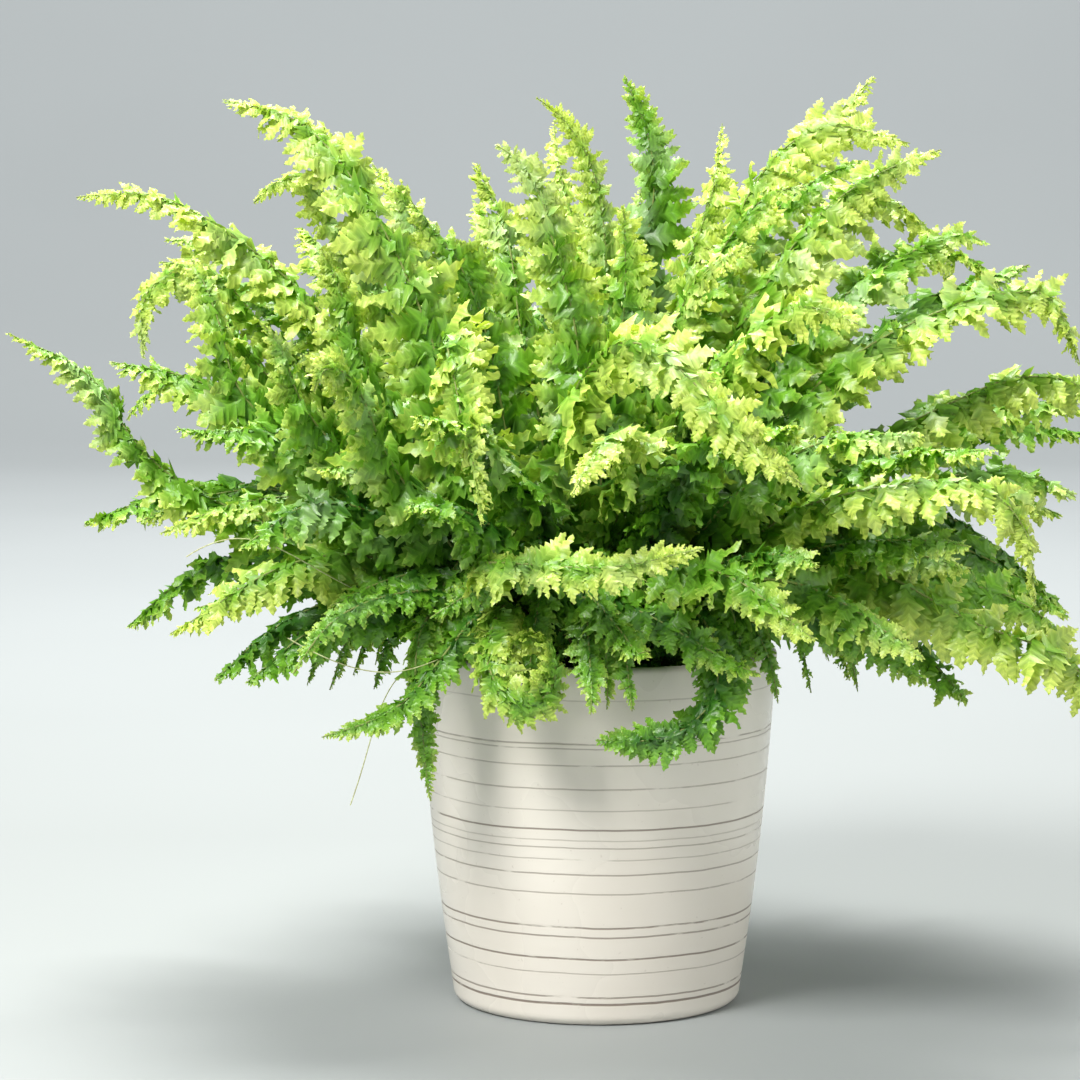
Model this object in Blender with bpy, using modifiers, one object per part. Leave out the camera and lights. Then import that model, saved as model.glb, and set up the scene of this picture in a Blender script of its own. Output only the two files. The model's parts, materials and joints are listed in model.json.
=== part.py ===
"""A Boston fern growing in a tapered pot of glazed ceramic.

Lengths are in metres and angles in degrees. The origin is the centre of the pot's foot, on the
surface that it stands on, with +Z up and the front of the plant towards -Y.
"""

import itertools
import math
import random
from collections import namedtuple

import bmesh
import bpy
import numpy as np
from mathutils import Matrix
from mathutils.bvhtree import BVHTree

# The gap that touching pieces keep
GAP = 0.0003

# The pot
POT_HEIGHT = 0.168
RIM_RADIUS = 0.0855
FOOT_RADIUS = 0.067
POT_BELLY = 0.002
POT_WALL = 0.006
POT_FLOOR = 0.010
FOOT_ROUNDING = 0.005
POT_SIDES = 44
OUTSIDE_HEIGHTS = (0.130, 0.090, 0.050)
INSIDE_HEIGHTS = (0.045, 0.100)

# The soil, a little domed
SOIL_EDGE = 0.154
SOIL_DOME = 0.004
SOIL_RADII = (0.0, 0.035, 0.066)

# Where the stems stand: within this radius, this far apart, and the further in, the steeper they
# leave the soil
SEAT_SPREAD = 0.064
SEAT_SPACING = 0.0145
SEAT_INWARD = 0.8
SEAT_ROUNDS = 300

# How deep a stem goes, how far it rises upright over the soil, and its hole
STEM_FOOT = 0.142
COLLAR = 0.003
HOLE_RADIUS = 0.00215
HOLE_SIDES = 6

# The straight line under the soil that a frond's curve starts from
LEAD_IN = 0.03

# A frond's stem, rib and leaflets
STEM_WIDTH = 0.0022
STEM_THICKNESS = 0.0022
RIB_WIDTH = 0.0019
RIB_THICKNESS = 0.0014
RIB_TIP_WIDTH = 0.0011
RIB_TIP_THICKNESS = 0.0009
LEAF_THICKNESS = 0.00065
STEM_SPANS = 3
BARE_SHARE = 0.24

# The distance between leaflets is the first value and the second times the longest leaflet, and
# it shrinks by this share from the blade's start to its tip
LEAF_PITCH = (0.005, 0.98)
PITCH_TAPER = 0.12

# The first leaflets beside the longest, how fast they grow, and the two powers of their taper
FIRST_LEAF = 0.55
LEAF_GROWTH = 1.5
LEAF_TAPER = (2.6, 0.65)

# How far leaflets point to the tip, hang, and stand off the blade by turns, as shares of their length
LEAF_SWEEP = 0.30
LEAF_DROOP = 0.16
LEAF_WAVE = 0.14

# How far a frond may be swung and lifted to keep clear of others, for those that the front shows
# and for those of the tufts, and how many steps that takes on each side
SHOWN_FREEDOM = (10, 9)
TUFT_FREEDOM = (30, 15)
SWING_STEPS = 5
LIFT_STEPS = 3

# How far its face may turn about its rib, and how its leaflets may be shortened
ROLLS = (-30, -15, 0, 15, 30)
SLIMS = (1.0, 0.75, 0.5)

# The room that a frond keeps to its neighbours on each face
CLEARANCE = 0.00022

# Where most of the light comes from, which the fronds at the front turn their faces to
LIGHT = np.array((-0.25, -0.85, 0.45))

SEED = 7

UP = np.array((0.0, 0.0, 1.0))

# One frond: the points that its rib passes after it leaves the soil, with their heights over the
# soil's edge, the length of its longest leaflets, the share of the way that its face turns to the
# light, and its age, which is 0 for a pale new frond and 1 for a dark old one
Frond = namedtuple("Frond", "route leaf turn age")

LEFT_FRONDS = (
    # The longest, which leaves the mound low and lifts its tip
    Frond(
        (
            (-0.085, -0.012, 0.047),
            (-0.135, -0.018, 0.065),
            (-0.180, -0.025, 0.087),
            (-0.212, -0.030, 0.109),
            (-0.236, -0.032, 0.143),
            (-0.272, -0.035, 0.164),
        ),
        0.019, 0.25, 0.5,
    ),
    # Long and bright, up and out to the upper left
    Frond(
        (
            (-0.058, -0.052, 0.101),
            (-0.078, -0.060, 0.161),
            (-0.100, -0.058, 0.219),
            (-0.135, -0.045, 0.256),
            (-0.172, -0.032, 0.271),
        ),
        0.025, 0.70, 0.15,
    ),
    # A flat arm to the left whose leaflets hang
    Frond(
        (
            (-0.085, 0.012, 0.106),
            (-0.130, 0.018, 0.169),
            (-0.172, 0.018, 0.209),
            (-0.210, 0.014, 0.227),
            (-0.246, 0.010, 0.225),
        ),
        0.021, 0.35, 0.3,
    ),
    # Curled over at its tip
    Frond(
        (
            (-0.065, 0.030, 0.101),
            (-0.097, 0.030, 0.166),
            (-0.122, 0.020, 0.213),
            (-0.142, 0.008, 0.237),
            (-0.160, 0.000, 0.223),
        ),
        0.018, 0.45, 0.25,
    ),
    # A silvery fan that faces the front
    Frond(
        (
            (-0.090, -0.040, 0.066),
            (-0.128, -0.062, 0.103),
            (-0.160, -0.074, 0.139),
            (-0.172, -0.072, 0.169),
            (-0.187, -0.062, 0.197),
        ),
        0.024, 0.80, 0.6,
    ),
    # A short one between the fan and the arm
    Frond(
        (
            (-0.105, 0.000, 0.076),
            (-0.150, -0.012, 0.119),
            (-0.187, -0.020, 0.143),
            (-0.226, -0.026, 0.149),
        ),
        0.020, 0.50, 0.35,
    ),
    # A hook that turns down at the far left
    Frond(
        (
            (-0.098, 0.045, 0.091),
            (-0.152, 0.040, 0.156),
            (-0.188, 0.030, 0.193),
            (-0.212, 0.018, 0.181),
            (-0.214, 0.010, 0.151),
        ),
        0.018, 0.40, 0.3,
    ),
    # Low arms to the left
    Frond(
        (
            (-0.080, -0.045, 0.047),
            (-0.110, -0.062, 0.063),
            (-0.150, -0.080, 0.058),
            (-0.196, -0.095, 0.033),
        ),
        0.021, 0.35, 0.2,
    ),
    Frond(
        (
            (-0.088, -0.032, 0.063),
            (-0.125, -0.058, 0.088),
            (-0.160, -0.068, 0.087),
            (-0.194, -0.072, 0.071),
        ),
        0.019, 0.35, 0.3,
    ),
    # The lowest on the left, over the rim
    Frond(
        (
            (-0.082, -0.018, 0.035),
            (-0.118, -0.028, 0.041),
            (-0.150, -0.038, 0.027),
            (-0.176, -0.046, 0.003),
        ),
        0.018, 0.20, 0.8,
    ),
)

FRONT_FRONDS = (
    # The curled ring in front of the rim
    Frond(
        (
            (-0.036, -0.074, 0.041),
            (-0.046, -0.104, 0.038),
            (-0.050, -0.121, 0.017),
            (-0.036, -0.127, 0.001),
            (-0.020, -0.126, 0.011),
            (-0.022, -0.122, 0.027),
        ),
        0.010, 1.0, 0.1,
    ),
    # Hooked down in front of the pot, to the left
    Frond(
        (
            (0.034, -0.072, 0.041),
            (0.048, -0.104, 0.035),
            (0.050, -0.118, 0.011),
            (0.036, -0.122, -0.006),
            (0.018, -0.124, -0.013),
            (-0.002, -0.124, -0.015),
        ),
        0.013, 0.9, 0.9,
    ),
    # Low and left over the rim
    Frond(
        (
            (-0.048, -0.074, 0.039),
            (-0.064, -0.096, 0.027),
            (-0.088, -0.110, 0.003),
            (-0.124, -0.118, -0.011),
        ),
        0.016, 0.7, 0.4,
    ),
    # Thin and hanging
    Frond(
        (
            (-0.056, -0.070, 0.043),
            (-0.070, -0.092, 0.035),
            (-0.074, -0.106, 0.011),
            (-0.068, -0.109, -0.015),
            (-0.062, -0.109, -0.043),
        ),
        0.011, 0.9, 0.5,
    ),
    # Across the dark hollow, to the right
    Frond(
        (
            (-0.048, -0.066, 0.047),
            (-0.055, -0.108, 0.065),
            (-0.030, -0.142, 0.067),
            (0.005, -0.162, 0.065),
            (0.042, -0.172, 0.077),
        ),
        0.020, 0.75, 0.15,
    ),
    # Under it, low over the rim, to the right and to the left
    Frond(
        (
            (-0.026, -0.076, 0.044),
            (0.000, -0.108, 0.046),
            (0.034, -0.124, 0.036),
            (0.070, -0.128, 0.018),
        ),
        0.018, 0.85, 0.6,
    ),
    Frond(
        (
            (0.016, -0.076, 0.054),
            (-0.006, -0.098, 0.064),
            (-0.040, -0.110, 0.058),
            (-0.076, -0.112, 0.042),
        ),
        0.018, 0.85, 0.7,
    ),
    # Low over the rim at each side of the front
    Frond(
        (
            (0.060, -0.068, 0.038),
            (0.086, -0.092, 0.042),
            (0.116, -0.108, 0.032),
            (0.144, -0.116, 0.012),
        ),
        0.018, 0.7, 0.7,
    ),
    Frond(
        (
            (-0.066, -0.060, 0.036),
            (-0.092, -0.080, 0.040),
            (-0.122, -0.096, 0.030),
            (-0.150, -0.106, 0.010),
        ),
        0.018, 0.6, 0.8,
    ),
    # Above the hollow, towards the viewer, its tip hanging
    Frond(
        (
            (-0.045, -0.060, 0.086),
            (-0.064, -0.092, 0.139),
            (-0.070, -0.122, 0.165),
            (-0.062, -0.150, 0.147),
            (-0.056, -0.162, 0.113),
            (-0.054, -0.162, 0.085),
        ),
        0.019, 0.55, 0.15,
    ),
    # Beside it, its rib seen from the front
    Frond(
        (
            (-0.070, -0.072, 0.071),
            (-0.094, -0.108, 0.113),
            (-0.106, -0.134, 0.141),
            (-0.116, -0.152, 0.151),
            (-0.122, -0.166, 0.141),
        ),
        0.021, 0.60, 0.4,
    ),
    # The arch from the left, over the middle, down to the right
    Frond(
        (
            (-0.018, -0.058, 0.086),
            (-0.012, -0.105, 0.139),
            (0.008, -0.142, 0.161),
            (0.034, -0.166, 0.151),
            (0.060, -0.178, 0.125),
            (0.082, -0.182, 0.103),
        ),
        0.022, 0.65, 0.3,
    ),
    # Towards the viewer, with its tip over the hollow
    Frond(
        (
            (0.008, -0.060, 0.076),
            (0.012, -0.112, 0.117),
            (0.004, -0.160, 0.123),
            (-0.014, -0.196, 0.101),
        ),
        0.019, 0.5, 0.2,
    ),
    # A bright rosette at the right of the middle, towards the viewer
    Frond(
        (
            (0.030, -0.052, 0.086),
            (0.046, -0.092, 0.135),
            (0.064, -0.130, 0.165),
            (0.086, -0.156, 0.177),
            (0.108, -0.174, 0.173),
        ),
        0.022, 0.60, 0.05,
    ),
    # Under it
    Frond(
        (
            (0.042, -0.060, 0.066),
            (0.072, -0.104, 0.103),
            (0.104, -0.138, 0.123),
            (0.136, -0.158, 0.121),
        ),
        0.021, 0.45, 0.45,
    ),
    # Lower left of the mound
    Frond(
        (
            (-0.060, -0.062, 0.057),
            (-0.088, -0.096, 0.083),
            (-0.116, -0.126, 0.089),
            (-0.142, -0.144, 0.073),
        ),
        0.021, 0.5, 0.7,
    ),
    Frond(
        (
            (-0.054, -0.068, 0.043),
            (-0.078, -0.104, 0.051),
            (-0.104, -0.134, 0.041),
            (-0.124, -0.150, 0.019),
        ),
        0.019, 0.5, 0.8,
    ),
    # Lower right of the mound
    Frond(
        (
            (0.050, -0.068, 0.045),
            (0.080, -0.104, 0.055),
            (0.112, -0.134, 0.047),
            (0.138, -0.150, 0.027),
        ),
        0.020, 0.5, 0.6,
    ),
    Frond(
        (
            (0.022, -0.070, 0.051),
            (0.034, -0.118, 0.063),
            (0.062, -0.152, 0.057),
            (0.092, -0.170, 0.039),
        ),
        0.019, 0.6, 0.5,
    ),
)

TOP_FRONDS = (
    # Bright, with its tip bent to the left
    Frond(
        (
            (-0.012, -0.040, 0.091),
            (-0.011, -0.048, 0.151),
            (-0.018, -0.052, 0.203),
            (-0.030, -0.054, 0.235),
            (-0.048, -0.054, 0.247),
        ),
        0.020, 0.85, 0.05,
    ),
    # Upright, behind it
    Frond(
        (
            (0.004, 0.012, 0.101),
            (0.006, 0.018, 0.171),
            (0.004, 0.018, 0.221),
            (-0.012, 0.014, 0.255),
            (-0.030, 0.010, 0.271),
        ),
        0.018, 0.8, 0.1,
    ),
    # The tallest
    Frond(
        (
            (0.018, 0.052, 0.111),
            (0.026, 0.066, 0.181),
            (0.030, 0.070, 0.229),
            (0.025, 0.070, 0.261),
            (0.018, 0.068, 0.285),
        ),
        0.021, 0.8, 0.8,
    ),
    # Inside the crown
    Frond(
        (
            (-0.036, -0.022, 0.096),
            (-0.052, -0.030, 0.156),
            (-0.066, -0.036, 0.201),
            (-0.084, -0.044, 0.225),
        ),
        0.021, 0.7, 0.4,
    ),
    Frond(
        (
            (0.018, -0.030, 0.096),
            (0.030, -0.050, 0.151),
            (0.048, -0.066, 0.195),
            (0.068, -0.082, 0.205),
        ),
        0.020, 0.6, 0.3,
    ),
)

RIGHT_FRONDS = (
    # The long bright arms to the upper right
    Frond(
        (
            (0.030, 0.000, 0.096),
            (0.048, 0.004, 0.171),
            (0.070, 0.002, 0.227),
            (0.104, -0.004, 0.257),
            (0.146, -0.010, 0.253),
        ),
        0.022, 0.65, 0.05,
    ),
    Frond(
        (
            (0.040, -0.022, 0.091),
            (0.066, -0.028, 0.166),
            (0.098, -0.032, 0.213),
            (0.130, -0.034, 0.235),
            (0.158, -0.034, 0.247),
        ),
        0.022, 0.7, 0.15,
    ),
    Frond(
        (
            (0.036, 0.040, 0.106),
            (0.062, 0.066, 0.186),
            (0.098, 0.084, 0.247),
            (0.140, 0.094, 0.285),
        ),
        0.021, 0.7, 0.3,
    ),
    # Over and down at the right
    Frond(
        (
            (0.060, 0.020, 0.106),
            (0.100, 0.032, 0.191),
            (0.136, 0.038, 0.227),
            (0.165, 0.040, 0.203),
            (0.176, 0.040, 0.173),
        ),
        0.019, 0.55, 0.3,
    ),
    # Out to the right, its tip drooping
    Frond(
        (
            (0.062, -0.030, 0.086),
            (0.098, -0.046, 0.137),
            (0.132, -0.056, 0.165),
            (0.172, -0.062, 0.179),
            (0.204, -0.064, 0.179),
            (0.218, -0.064, 0.151),
        ),
        0.021, 0.6, 0.2,
    ),
    # Level, past the edge of the view
    Frond(
        (
            (0.076, -0.012, 0.071),
            (0.128, -0.018, 0.113),
            (0.170, -0.024, 0.133),
            (0.208, -0.030, 0.143),
            (0.246, -0.034, 0.131),
        ),
        0.022, 0.6, 0.1,
    ),
    # Level, nearer the viewer, then hanging
    Frond(
        (
            (0.058, -0.056, 0.057),
            (0.090, -0.108, 0.089),
            (0.126, -0.136, 0.101),
            (0.162, -0.146, 0.099),
            (0.182, -0.148, 0.081),
            (0.188, -0.148, 0.051),
        ),
        0.020, 0.5, 0.25,
    ),
    # The long low arm at the right
    Frond(
        (
            (0.078, -0.050, 0.047),
            (0.120, -0.080, 0.057),
            (0.164, -0.094, 0.039),
            (0.208, -0.098, 0.017),
            (0.230, -0.098, -0.013),
        ),
        0.022, 0.6, 0.1,
    ),
    # Dark, behind the low arm
    Frond(
        (
            (0.082, 0.026, 0.061),
            (0.134, 0.050, 0.083),
            (0.190, 0.072, 0.061),
            (0.236, 0.086, 0.021),
        ),
        0.022, 0.3, 0.9,
    ),
    Frond(
        (
            (0.088, 0.006, 0.047),
            (0.136, 0.012, 0.063),
            (0.186, 0.014, 0.055),
            (0.226, 0.012, 0.027),
        ),
        0.020, 0.35, 0.7,
    ),
    # The lowest on the right, over the rim
    Frond(
        (
            (0.080, -0.028, 0.033),
            (0.114, -0.042, 0.035),
            (0.146, -0.054, 0.019),
            (0.170, -0.062, -0.003),
        ),
        0.018, 0.25, 0.8,
    ),
)

# How the other fronds grow: the lean of the stem from upright, how far the frond bends over on
# its way, its length, its longest leaflets and its age
Habit = namedtuple("Habit", "lean bend length leaf age")

# Tufts of an old low frond and younger ones above it, from one place in the soil: how many tufts
# stand side by side, the headings of the first and the last, and the habits of their fronds
Tufts = namedtuple("Tufts", "count first last habits")
FRONT_MIDDLE = Habit(58, 46, 0.180, 0.018, 0.7)
FRONT_HIGH = Habit(42, 58, 0.220, 0.020, 0.5)
BACK_LOW = Habit(56, 78, 0.240, 0.021, 0.8)
BACK_MIDDLE = Habit(42, 68, 0.265, 0.022, 0.6)
BACK_HIGH = Habit(28, 58, 0.275, 0.022, 0.4)
INNER = Habit(16, 48, 0.280, 0.021, 0.3)
INMOST = Habit(5, 36, 0.250, 0.019, 0.2)
TUFTS = (
    Tufts(4, -145, -35, (FRONT_MIDDLE, FRONT_HIGH)),
    Tufts(6, 22, 158, (BACK_LOW, BACK_MIDDLE, BACK_HIGH)),
    Tufts(3, 45, 135, (INNER, INMOST)),
)

# The points that a tuft's frond is traced through, from a radius and a height over the soil, and
# how its bend gathers towards the tip
TUFT_STEPS = 16
TUFT_START = (0.035, 0.02)
BEND_POWER = 1.4

# What chance adds to or takes from a frond of a tuft: degrees of heading, lean and sway, and a
# share of its length
HEADING_PLAY = 6
LEAN_PLAY = 5
SWAY_PLAY = 24
LENGTH_PLAY = 0.08

# The height over the soil up to which the fronds of one tuft may run together, and how much
# higher the foot of each one stands than that of the one before
TUFT_FORK = 0.026
MATE_STEP = 0.0006


def pot_radius(height):
    """The pot's outer radius at a height, with the slight belly of a thrown wall."""
    up = height / POT_HEIGHT
    return FOOT_RADIUS + (RIM_RADIUS - FOOT_RADIUS) * up + POT_BELLY * math.sin(math.pi * up)


def arc(centre, radius, start, end, steps):
    """Points on a circle in the profile's plane, from one angle to another."""
    angles = [math.radians(start + (end - start) * i / steps) for i in range(steps + 1)]
    return [(centre[0] + radius * math.cos(a), centre[1] + radius * math.sin(a)) for a in angles]


def inner_wall(offset, top):
    """The profile of the pot's inside, from the floor's centre up to a height."""
    floor = POT_FLOOR + offset
    corner = (pot_radius(floor + FOOT_ROUNDING) - POT_WALL - offset, floor + FOOT_ROUNDING)
    wall = [(pot_radius(z) - POT_WALL - offset, z) for z in INSIDE_HEIGHTS]
    rim = (pot_radius(top) - POT_WALL - offset, top)
    return [(0.0, floor), (corner[0] - FOOT_ROUNDING, floor), corner, *wall, rim]


def outer_wall():
    """The profile of the pot's lip and outside, down to the foot's centre."""
    lip = POT_WALL / 2
    crown = (RIM_RADIUS - lip, POT_HEIGHT - lip)
    wall = [(pot_radius(z), z) for z in OUTSIDE_HEIGHTS]
    foot = (pot_radius(FOOT_ROUNDING) - FOOT_ROUNDING, FOOT_ROUNDING)
    rounding = arc(foot, FOOT_ROUNDING, 0, -90, 3)
    return [*arc(crown, lip, 180, 0, 4)[1:], *wall, *rounding, (0.0, 0.0)]


def make_collection(name):
    collection = bpy.data.collections.new(name)
    bpy.context.scene.collection.children.link(collection)
    return collection


def make_material(name, colour, roughness):
    material = bpy.data.materials.new(name)
    material.use_nodes = True
    shader = material.node_tree.nodes["Principled BSDF"]
    shader.inputs["Base Color"].default_value = (*colour, 1.0)
    shader.inputs["Roughness"].default_value = roughness
    shader.inputs["Metallic"].default_value = 0.0
    material.diffuse_color = (*colour, 1.0)
    return material


def make_object(name, mesh, collection, material=None):
    obj = bpy.data.objects.new(name, mesh)
    collection.objects.link(obj)
    if material:
        mesh.materials.append(material)
    return obj


def turned(name, profile, collection, material):
    """A solid of revolution from its profile."""
    mesh = bpy.data.meshes.new(name)
    edges = [(i, i + 1) for i in range(len(profile) - 1)]
    mesh.from_pydata([(r, 0.0, z) for r, z in profile], edges, [])
    obj = make_object(name, mesh, collection, material)
    screw = obj.modifiers.new("turn", "SCREW")
    screw.axis = "Z"
    screw.steps = POT_SIDES
    screw.render_steps = POT_SIDES
    screw.use_merge_vertices = True
    screw.merge_threshold = 1e-5
    screw.use_smooth_shade = True
    return obj


def make_pot(collection, material):
    inside = inner_wall(0.0, POT_HEIGHT - POT_WALL / 2)
    return turned("pot", inside + outer_wall(), collection, material)


def soil_height(radius):
    return SOIL_EDGE + SOIL_DOME * (1 - (radius / RIM_RADIUS) ** 2)


def make_soil(collection, cutters, material, seats):
    """The soil, which fills the pot and has a plain hole for each stem."""
    side = inner_wall(GAP, SOIL_EDGE)
    dome = [(r, soil_height(r)) for r in SOIL_RADII]
    soil = turned("soil", dome + side[::-1], collection, material)
    holes = bmesh.new()
    depth = soil_height(0.0) + COLLAR - STEM_FOOT + GAP
    middle = STEM_FOOT - GAP + depth / 2
    for x, y in seats:
        bmesh.ops.create_cone(
            holes,
            cap_ends=True,
            segments=HOLE_SIDES,
            radius1=HOLE_RADIUS,
            radius2=HOLE_RADIUS,
            depth=depth,
            matrix=Matrix.Translation((x, y, middle)),
        )
    mesh = bpy.data.meshes.new("stem_holes")
    holes.to_mesh(mesh)
    holes.free()
    cutter = make_object("stem_holes", mesh, cutters)
    cutter.hide_render = True
    cutter.display_type = "WIRE"
    cut = soil.modifiers.new("stem holes", "BOOLEAN")
    cut.operation = "DIFFERENCE"
    cut.solver = "EXACT"
    cut.object = cutter
    return soil


def wished_seat(frond):
    """Where a frond would stand if it were alone: further out, the lower it leaves the soil."""
    first = np.array(frond.route[0])
    away = math.hypot(first[0], first[1])
    rise = math.atan2(first[2], away)
    return first[:2] / away * SEAT_SPREAD * (1 - SEAT_INWARD * rise / (math.pi / 2))


def seat_places(fronds):
    """A seat in the soil for each frond, near its wish and apart from all others."""
    seats = np.array([wished_seat(frond) for frond in fronds])
    for _ in range(SEAT_ROUNDS):
        apart = seats[:, None] - seats[None]
        distance = np.hypot(apart[..., 0], apart[..., 1]) + np.eye(len(seats))
        push = np.maximum(SEAT_SPACING - distance, 0) * (1 - np.eye(len(seats)))
        seats = seats + (apart / distance[..., None] * push[..., None]).sum(axis=1) / 4
        radius = np.hypot(seats[:, 0], seats[:, 1])
        seats *= np.minimum(1, SEAT_SPREAD / radius)[:, None]
    return [tuple(seat) for seat in seats]


def unit(vector):
    return vector / np.linalg.norm(vector)


def turn_about(points, axis, angle):
    """Points turned about an axis through the origin."""
    c, s = math.cos(angle), math.sin(angle)
    along = np.outer(points @ axis, axis)
    return points * c + np.cross(axis, points) * s + along * (1 - c)


def smooth_curve(points, per_span=14):
    """A fine line along the centripetal Catmull-Rom curve through all points but the first."""
    ends = np.vstack([points, 2 * points[-1] - points[-2]])
    line = [ends[1]]
    for p0, p1, p2, p3 in zip(ends, ends[1:], ends[2:], ends[3:]):
        t1 = math.sqrt(np.linalg.norm(p1 - p0))
        t2 = t1 + math.sqrt(np.linalg.norm(p2 - p1))
        t3 = t2 + math.sqrt(np.linalg.norm(p3 - p2))
        for t in np.linspace(t1, t2, per_span + 1)[1:]:
            a1 = p0 + (p1 - p0) * t / t1
            a2 = p1 + (p2 - p1) * (t - t1) / (t2 - t1)
            a3 = p2 + (p3 - p2) * (t - t2) / (t3 - t2)
            b1 = a1 + (a2 - a1) * t / t2
            b2 = a2 + (a3 - a2) * (t - t1) / (t3 - t1)
            line.append(b1 + (b2 - b1) * (t - t1) / (t2 - t1))
    return np.array(line)


def leaf_share(along):
    """The length of a leaflet beside the longest, by its place from the blade's start to its tip."""
    first, second = LEAF_TAPER
    return min(1.0, FIRST_LEAF + LEAF_GROWTH * along) * (1 - along**first) ** second


class Spine:
    """The rib of a frond: stations along its curve with their forward, side and face vectors."""

    def __init__(self, frond, seat, foot_height, nudge):
        swing, lift, roll = nudge
        foot = np.array((*seat, foot_height))
        collar = np.array((*seat, soil_height(math.hypot(*seat)) + COLLAR))
        route = turn_about(np.array(frond.route), UP, math.radians(swing)) + SOIL_EDGE * UP
        outward = unit((route[-1] - collar) * (1, 1, 0) + 1e-9)
        hinge = np.cross(outward, UP)
        route = collar + turn_about(route - collar, hinge, math.radians(lift))
        line = smooth_curve(np.vstack([collar - LEAD_IN * UP, collar, route]))
        steps = np.linalg.norm(np.diff(line, axis=0), axis=1)
        reach = np.concatenate([[0], np.cumsum(steps)])
        bare = BARE_SHARE * reach[-1]
        length = reach[-1] - bare
        self.pairs = round(length / (LEAF_PITCH[0] + LEAF_PITCH[1] * frond.leaf))
        i = np.arange(self.pairs + 1) / self.pairs
        shrinking = i * (1 + PITCH_TAPER * (1 - i))
        blade = bare + length * shrinking * self.pairs / (self.pairs + 0.5)
        stops = np.concatenate([np.linspace(0, bare, STEM_SPANS + 1)[:-1], blade, reach[-1:]])
        centres = np.column_stack([np.interp(stops, reach, line[:, k]) for k in range(3)])
        self.points = np.vstack([foot, centres])
        self.first_leaf = STEM_SPANS + 1
        ahead = np.gradient(self.points, axis=0)
        ahead[0] = ahead[1] = UP
        self.forward = ahead / np.linalg.norm(ahead, axis=1)[:, None]
        self.side = self.carried_side(outward)
        self.face = np.cross(self.side, self.forward)
        middle = self.first_leaf + self.pairs // 2
        light = LIGHT - self.forward[middle] * (LIGHT @ self.forward[middle])
        to_light = math.atan2(light @ self.side[middle], light @ self.face[middle])
        self.roll(frond.turn * to_light + math.radians(roll))

    def carried_side(self, outward):
        """The side vector, level at the foot and carried along the curve without a twist."""
        side = [np.cross(outward, UP)]
        for forward in self.forward[1:]:
            side.append(unit(side[-1] - forward * (side[-1] @ forward)))
        return np.array(side)

    def roll(self, angle):
        """Turns the frond's face about its rib, more and more from the soil to the first leaflet."""
        share = np.minimum(np.arange(len(self.points)) / self.first_leaf, 1)[:, None]
        self.side = self.side * np.cos(angle * share) - self.face * np.sin(angle * share)
        self.face = np.cross(self.side, self.forward)


def blade_surface(longest, spine):
    """The frond as an open surface: its points, triangles and thickness at each point."""
    rows = len(spine.points) - 1
    along = np.clip((np.arange(rows) - spine.first_leaf) / spine.pairs, 0, 1)
    on_blade = np.arange(rows) >= spine.first_leaf
    width = np.where(on_blade, RIB_WIDTH + (RIB_TIP_WIDTH - RIB_WIDTH) * along, STEM_WIDTH)
    rib = RIB_THICKNESS + (RIB_TIP_THICKNESS - RIB_THICKNESS) * along
    rib = np.where(on_blade, rib, STEM_THICKNESS)
    half = spine.side[:rows] * width[:, None] / 2
    points = [spine.points[:rows] - half, spine.points[:rows] + half]
    points = list(np.stack(points, axis=1).reshape(-1, 3))
    thickness = list(np.repeat(rib, 2))
    faces = []
    for row in range(rows - 1):
        left, right = 2 * row, 2 * row + 1
        faces += [(left, right, right + 2), (left, right + 2, left + 2)]
        if row < spine.first_leaf:
            continue
        pair = row - spine.first_leaf
        length = longest * leaf_share((pair + 0.5) / spine.pairs)
        for sign, root in ((-1, left), (1, right)):
            wave = LEAF_WAVE * (1 if (pair + (sign > 0)) % 2 else -1)
            reach = (
                sign * spine.side[row] * (1 - 0.5 * LEAF_DROOP)
                + spine.forward[row] * LEAF_SWEEP
                + spine.face[row] * (wave - LEAF_DROOP)
            )
            tip = (points[root] + points[root + 2]) / 2 + reach * length
            points.append(tip)
            thickness.append(LEAF_THICKNESS)
            end = len(points) - 1
            faces.append((root + 2, root, end) if sign > 0 else (root, root + 2, end))
    points.append(spine.points[-1])
    thickness.append(LEAF_THICKNESS)
    faces.append((2 * rows - 2, 2 * rows - 1, len(points) - 1))
    return np.array(points), np.array(faces), np.array(thickness)


def point_normals(points, faces):
    a, b, c = points[faces[:, 0]], points[faces[:, 1]], points[faces[:, 2]]
    flat = np.cross(b - a, c - a)
    normals = np.zeros_like(points)
    for corner in range(3):
        np.add.at(normals, faces[:, corner], flat)
    return normals / np.linalg.norm(normals, axis=1)[:, None]


def skin(points, faces, thickness):
    """A closed skin round the surface, as far off it as the frond has to stay clear."""
    offset = point_normals(points, faces) * (thickness / 2 + CLEARANCE)[:, None]
    count = len(points)
    edges = np.concatenate([faces[:, [0, 1]], faces[:, [1, 2]], faces[:, [2, 0]]])
    known = {(a, b) for a, b in edges.tolist()}
    rims = []
    for a, b in edges.tolist():
        if (b, a) not in known:
            rims += [(a, a + count, b + count), (a, b + count, b)]
    around = np.vstack([points + offset, points - offset])
    return around, np.vstack([faces, faces[:, ::-1] + count, np.array(rims)])


class Crowd:
    """The room that the pot and the fronds placed so far take up."""

    def __init__(self, points, faces):
        self.points, self.faces = points, faces
        self.tree = self.tree_of(points, faces)

    @staticmethod
    def tree_of(points, faces):
        return BVHTree.FromPolygons(points.tolist(), faces.tolist())

    def crossings(self, points, faces):
        return len(self.tree.overlap(self.tree_of(points, faces)))

    def add(self, points, faces):
        self.faces = np.vstack([self.faces, faces + len(self.points)])
        self.points = np.vstack([self.points, points])
        self.tree = self.tree_of(self.points, self.faces)


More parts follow.
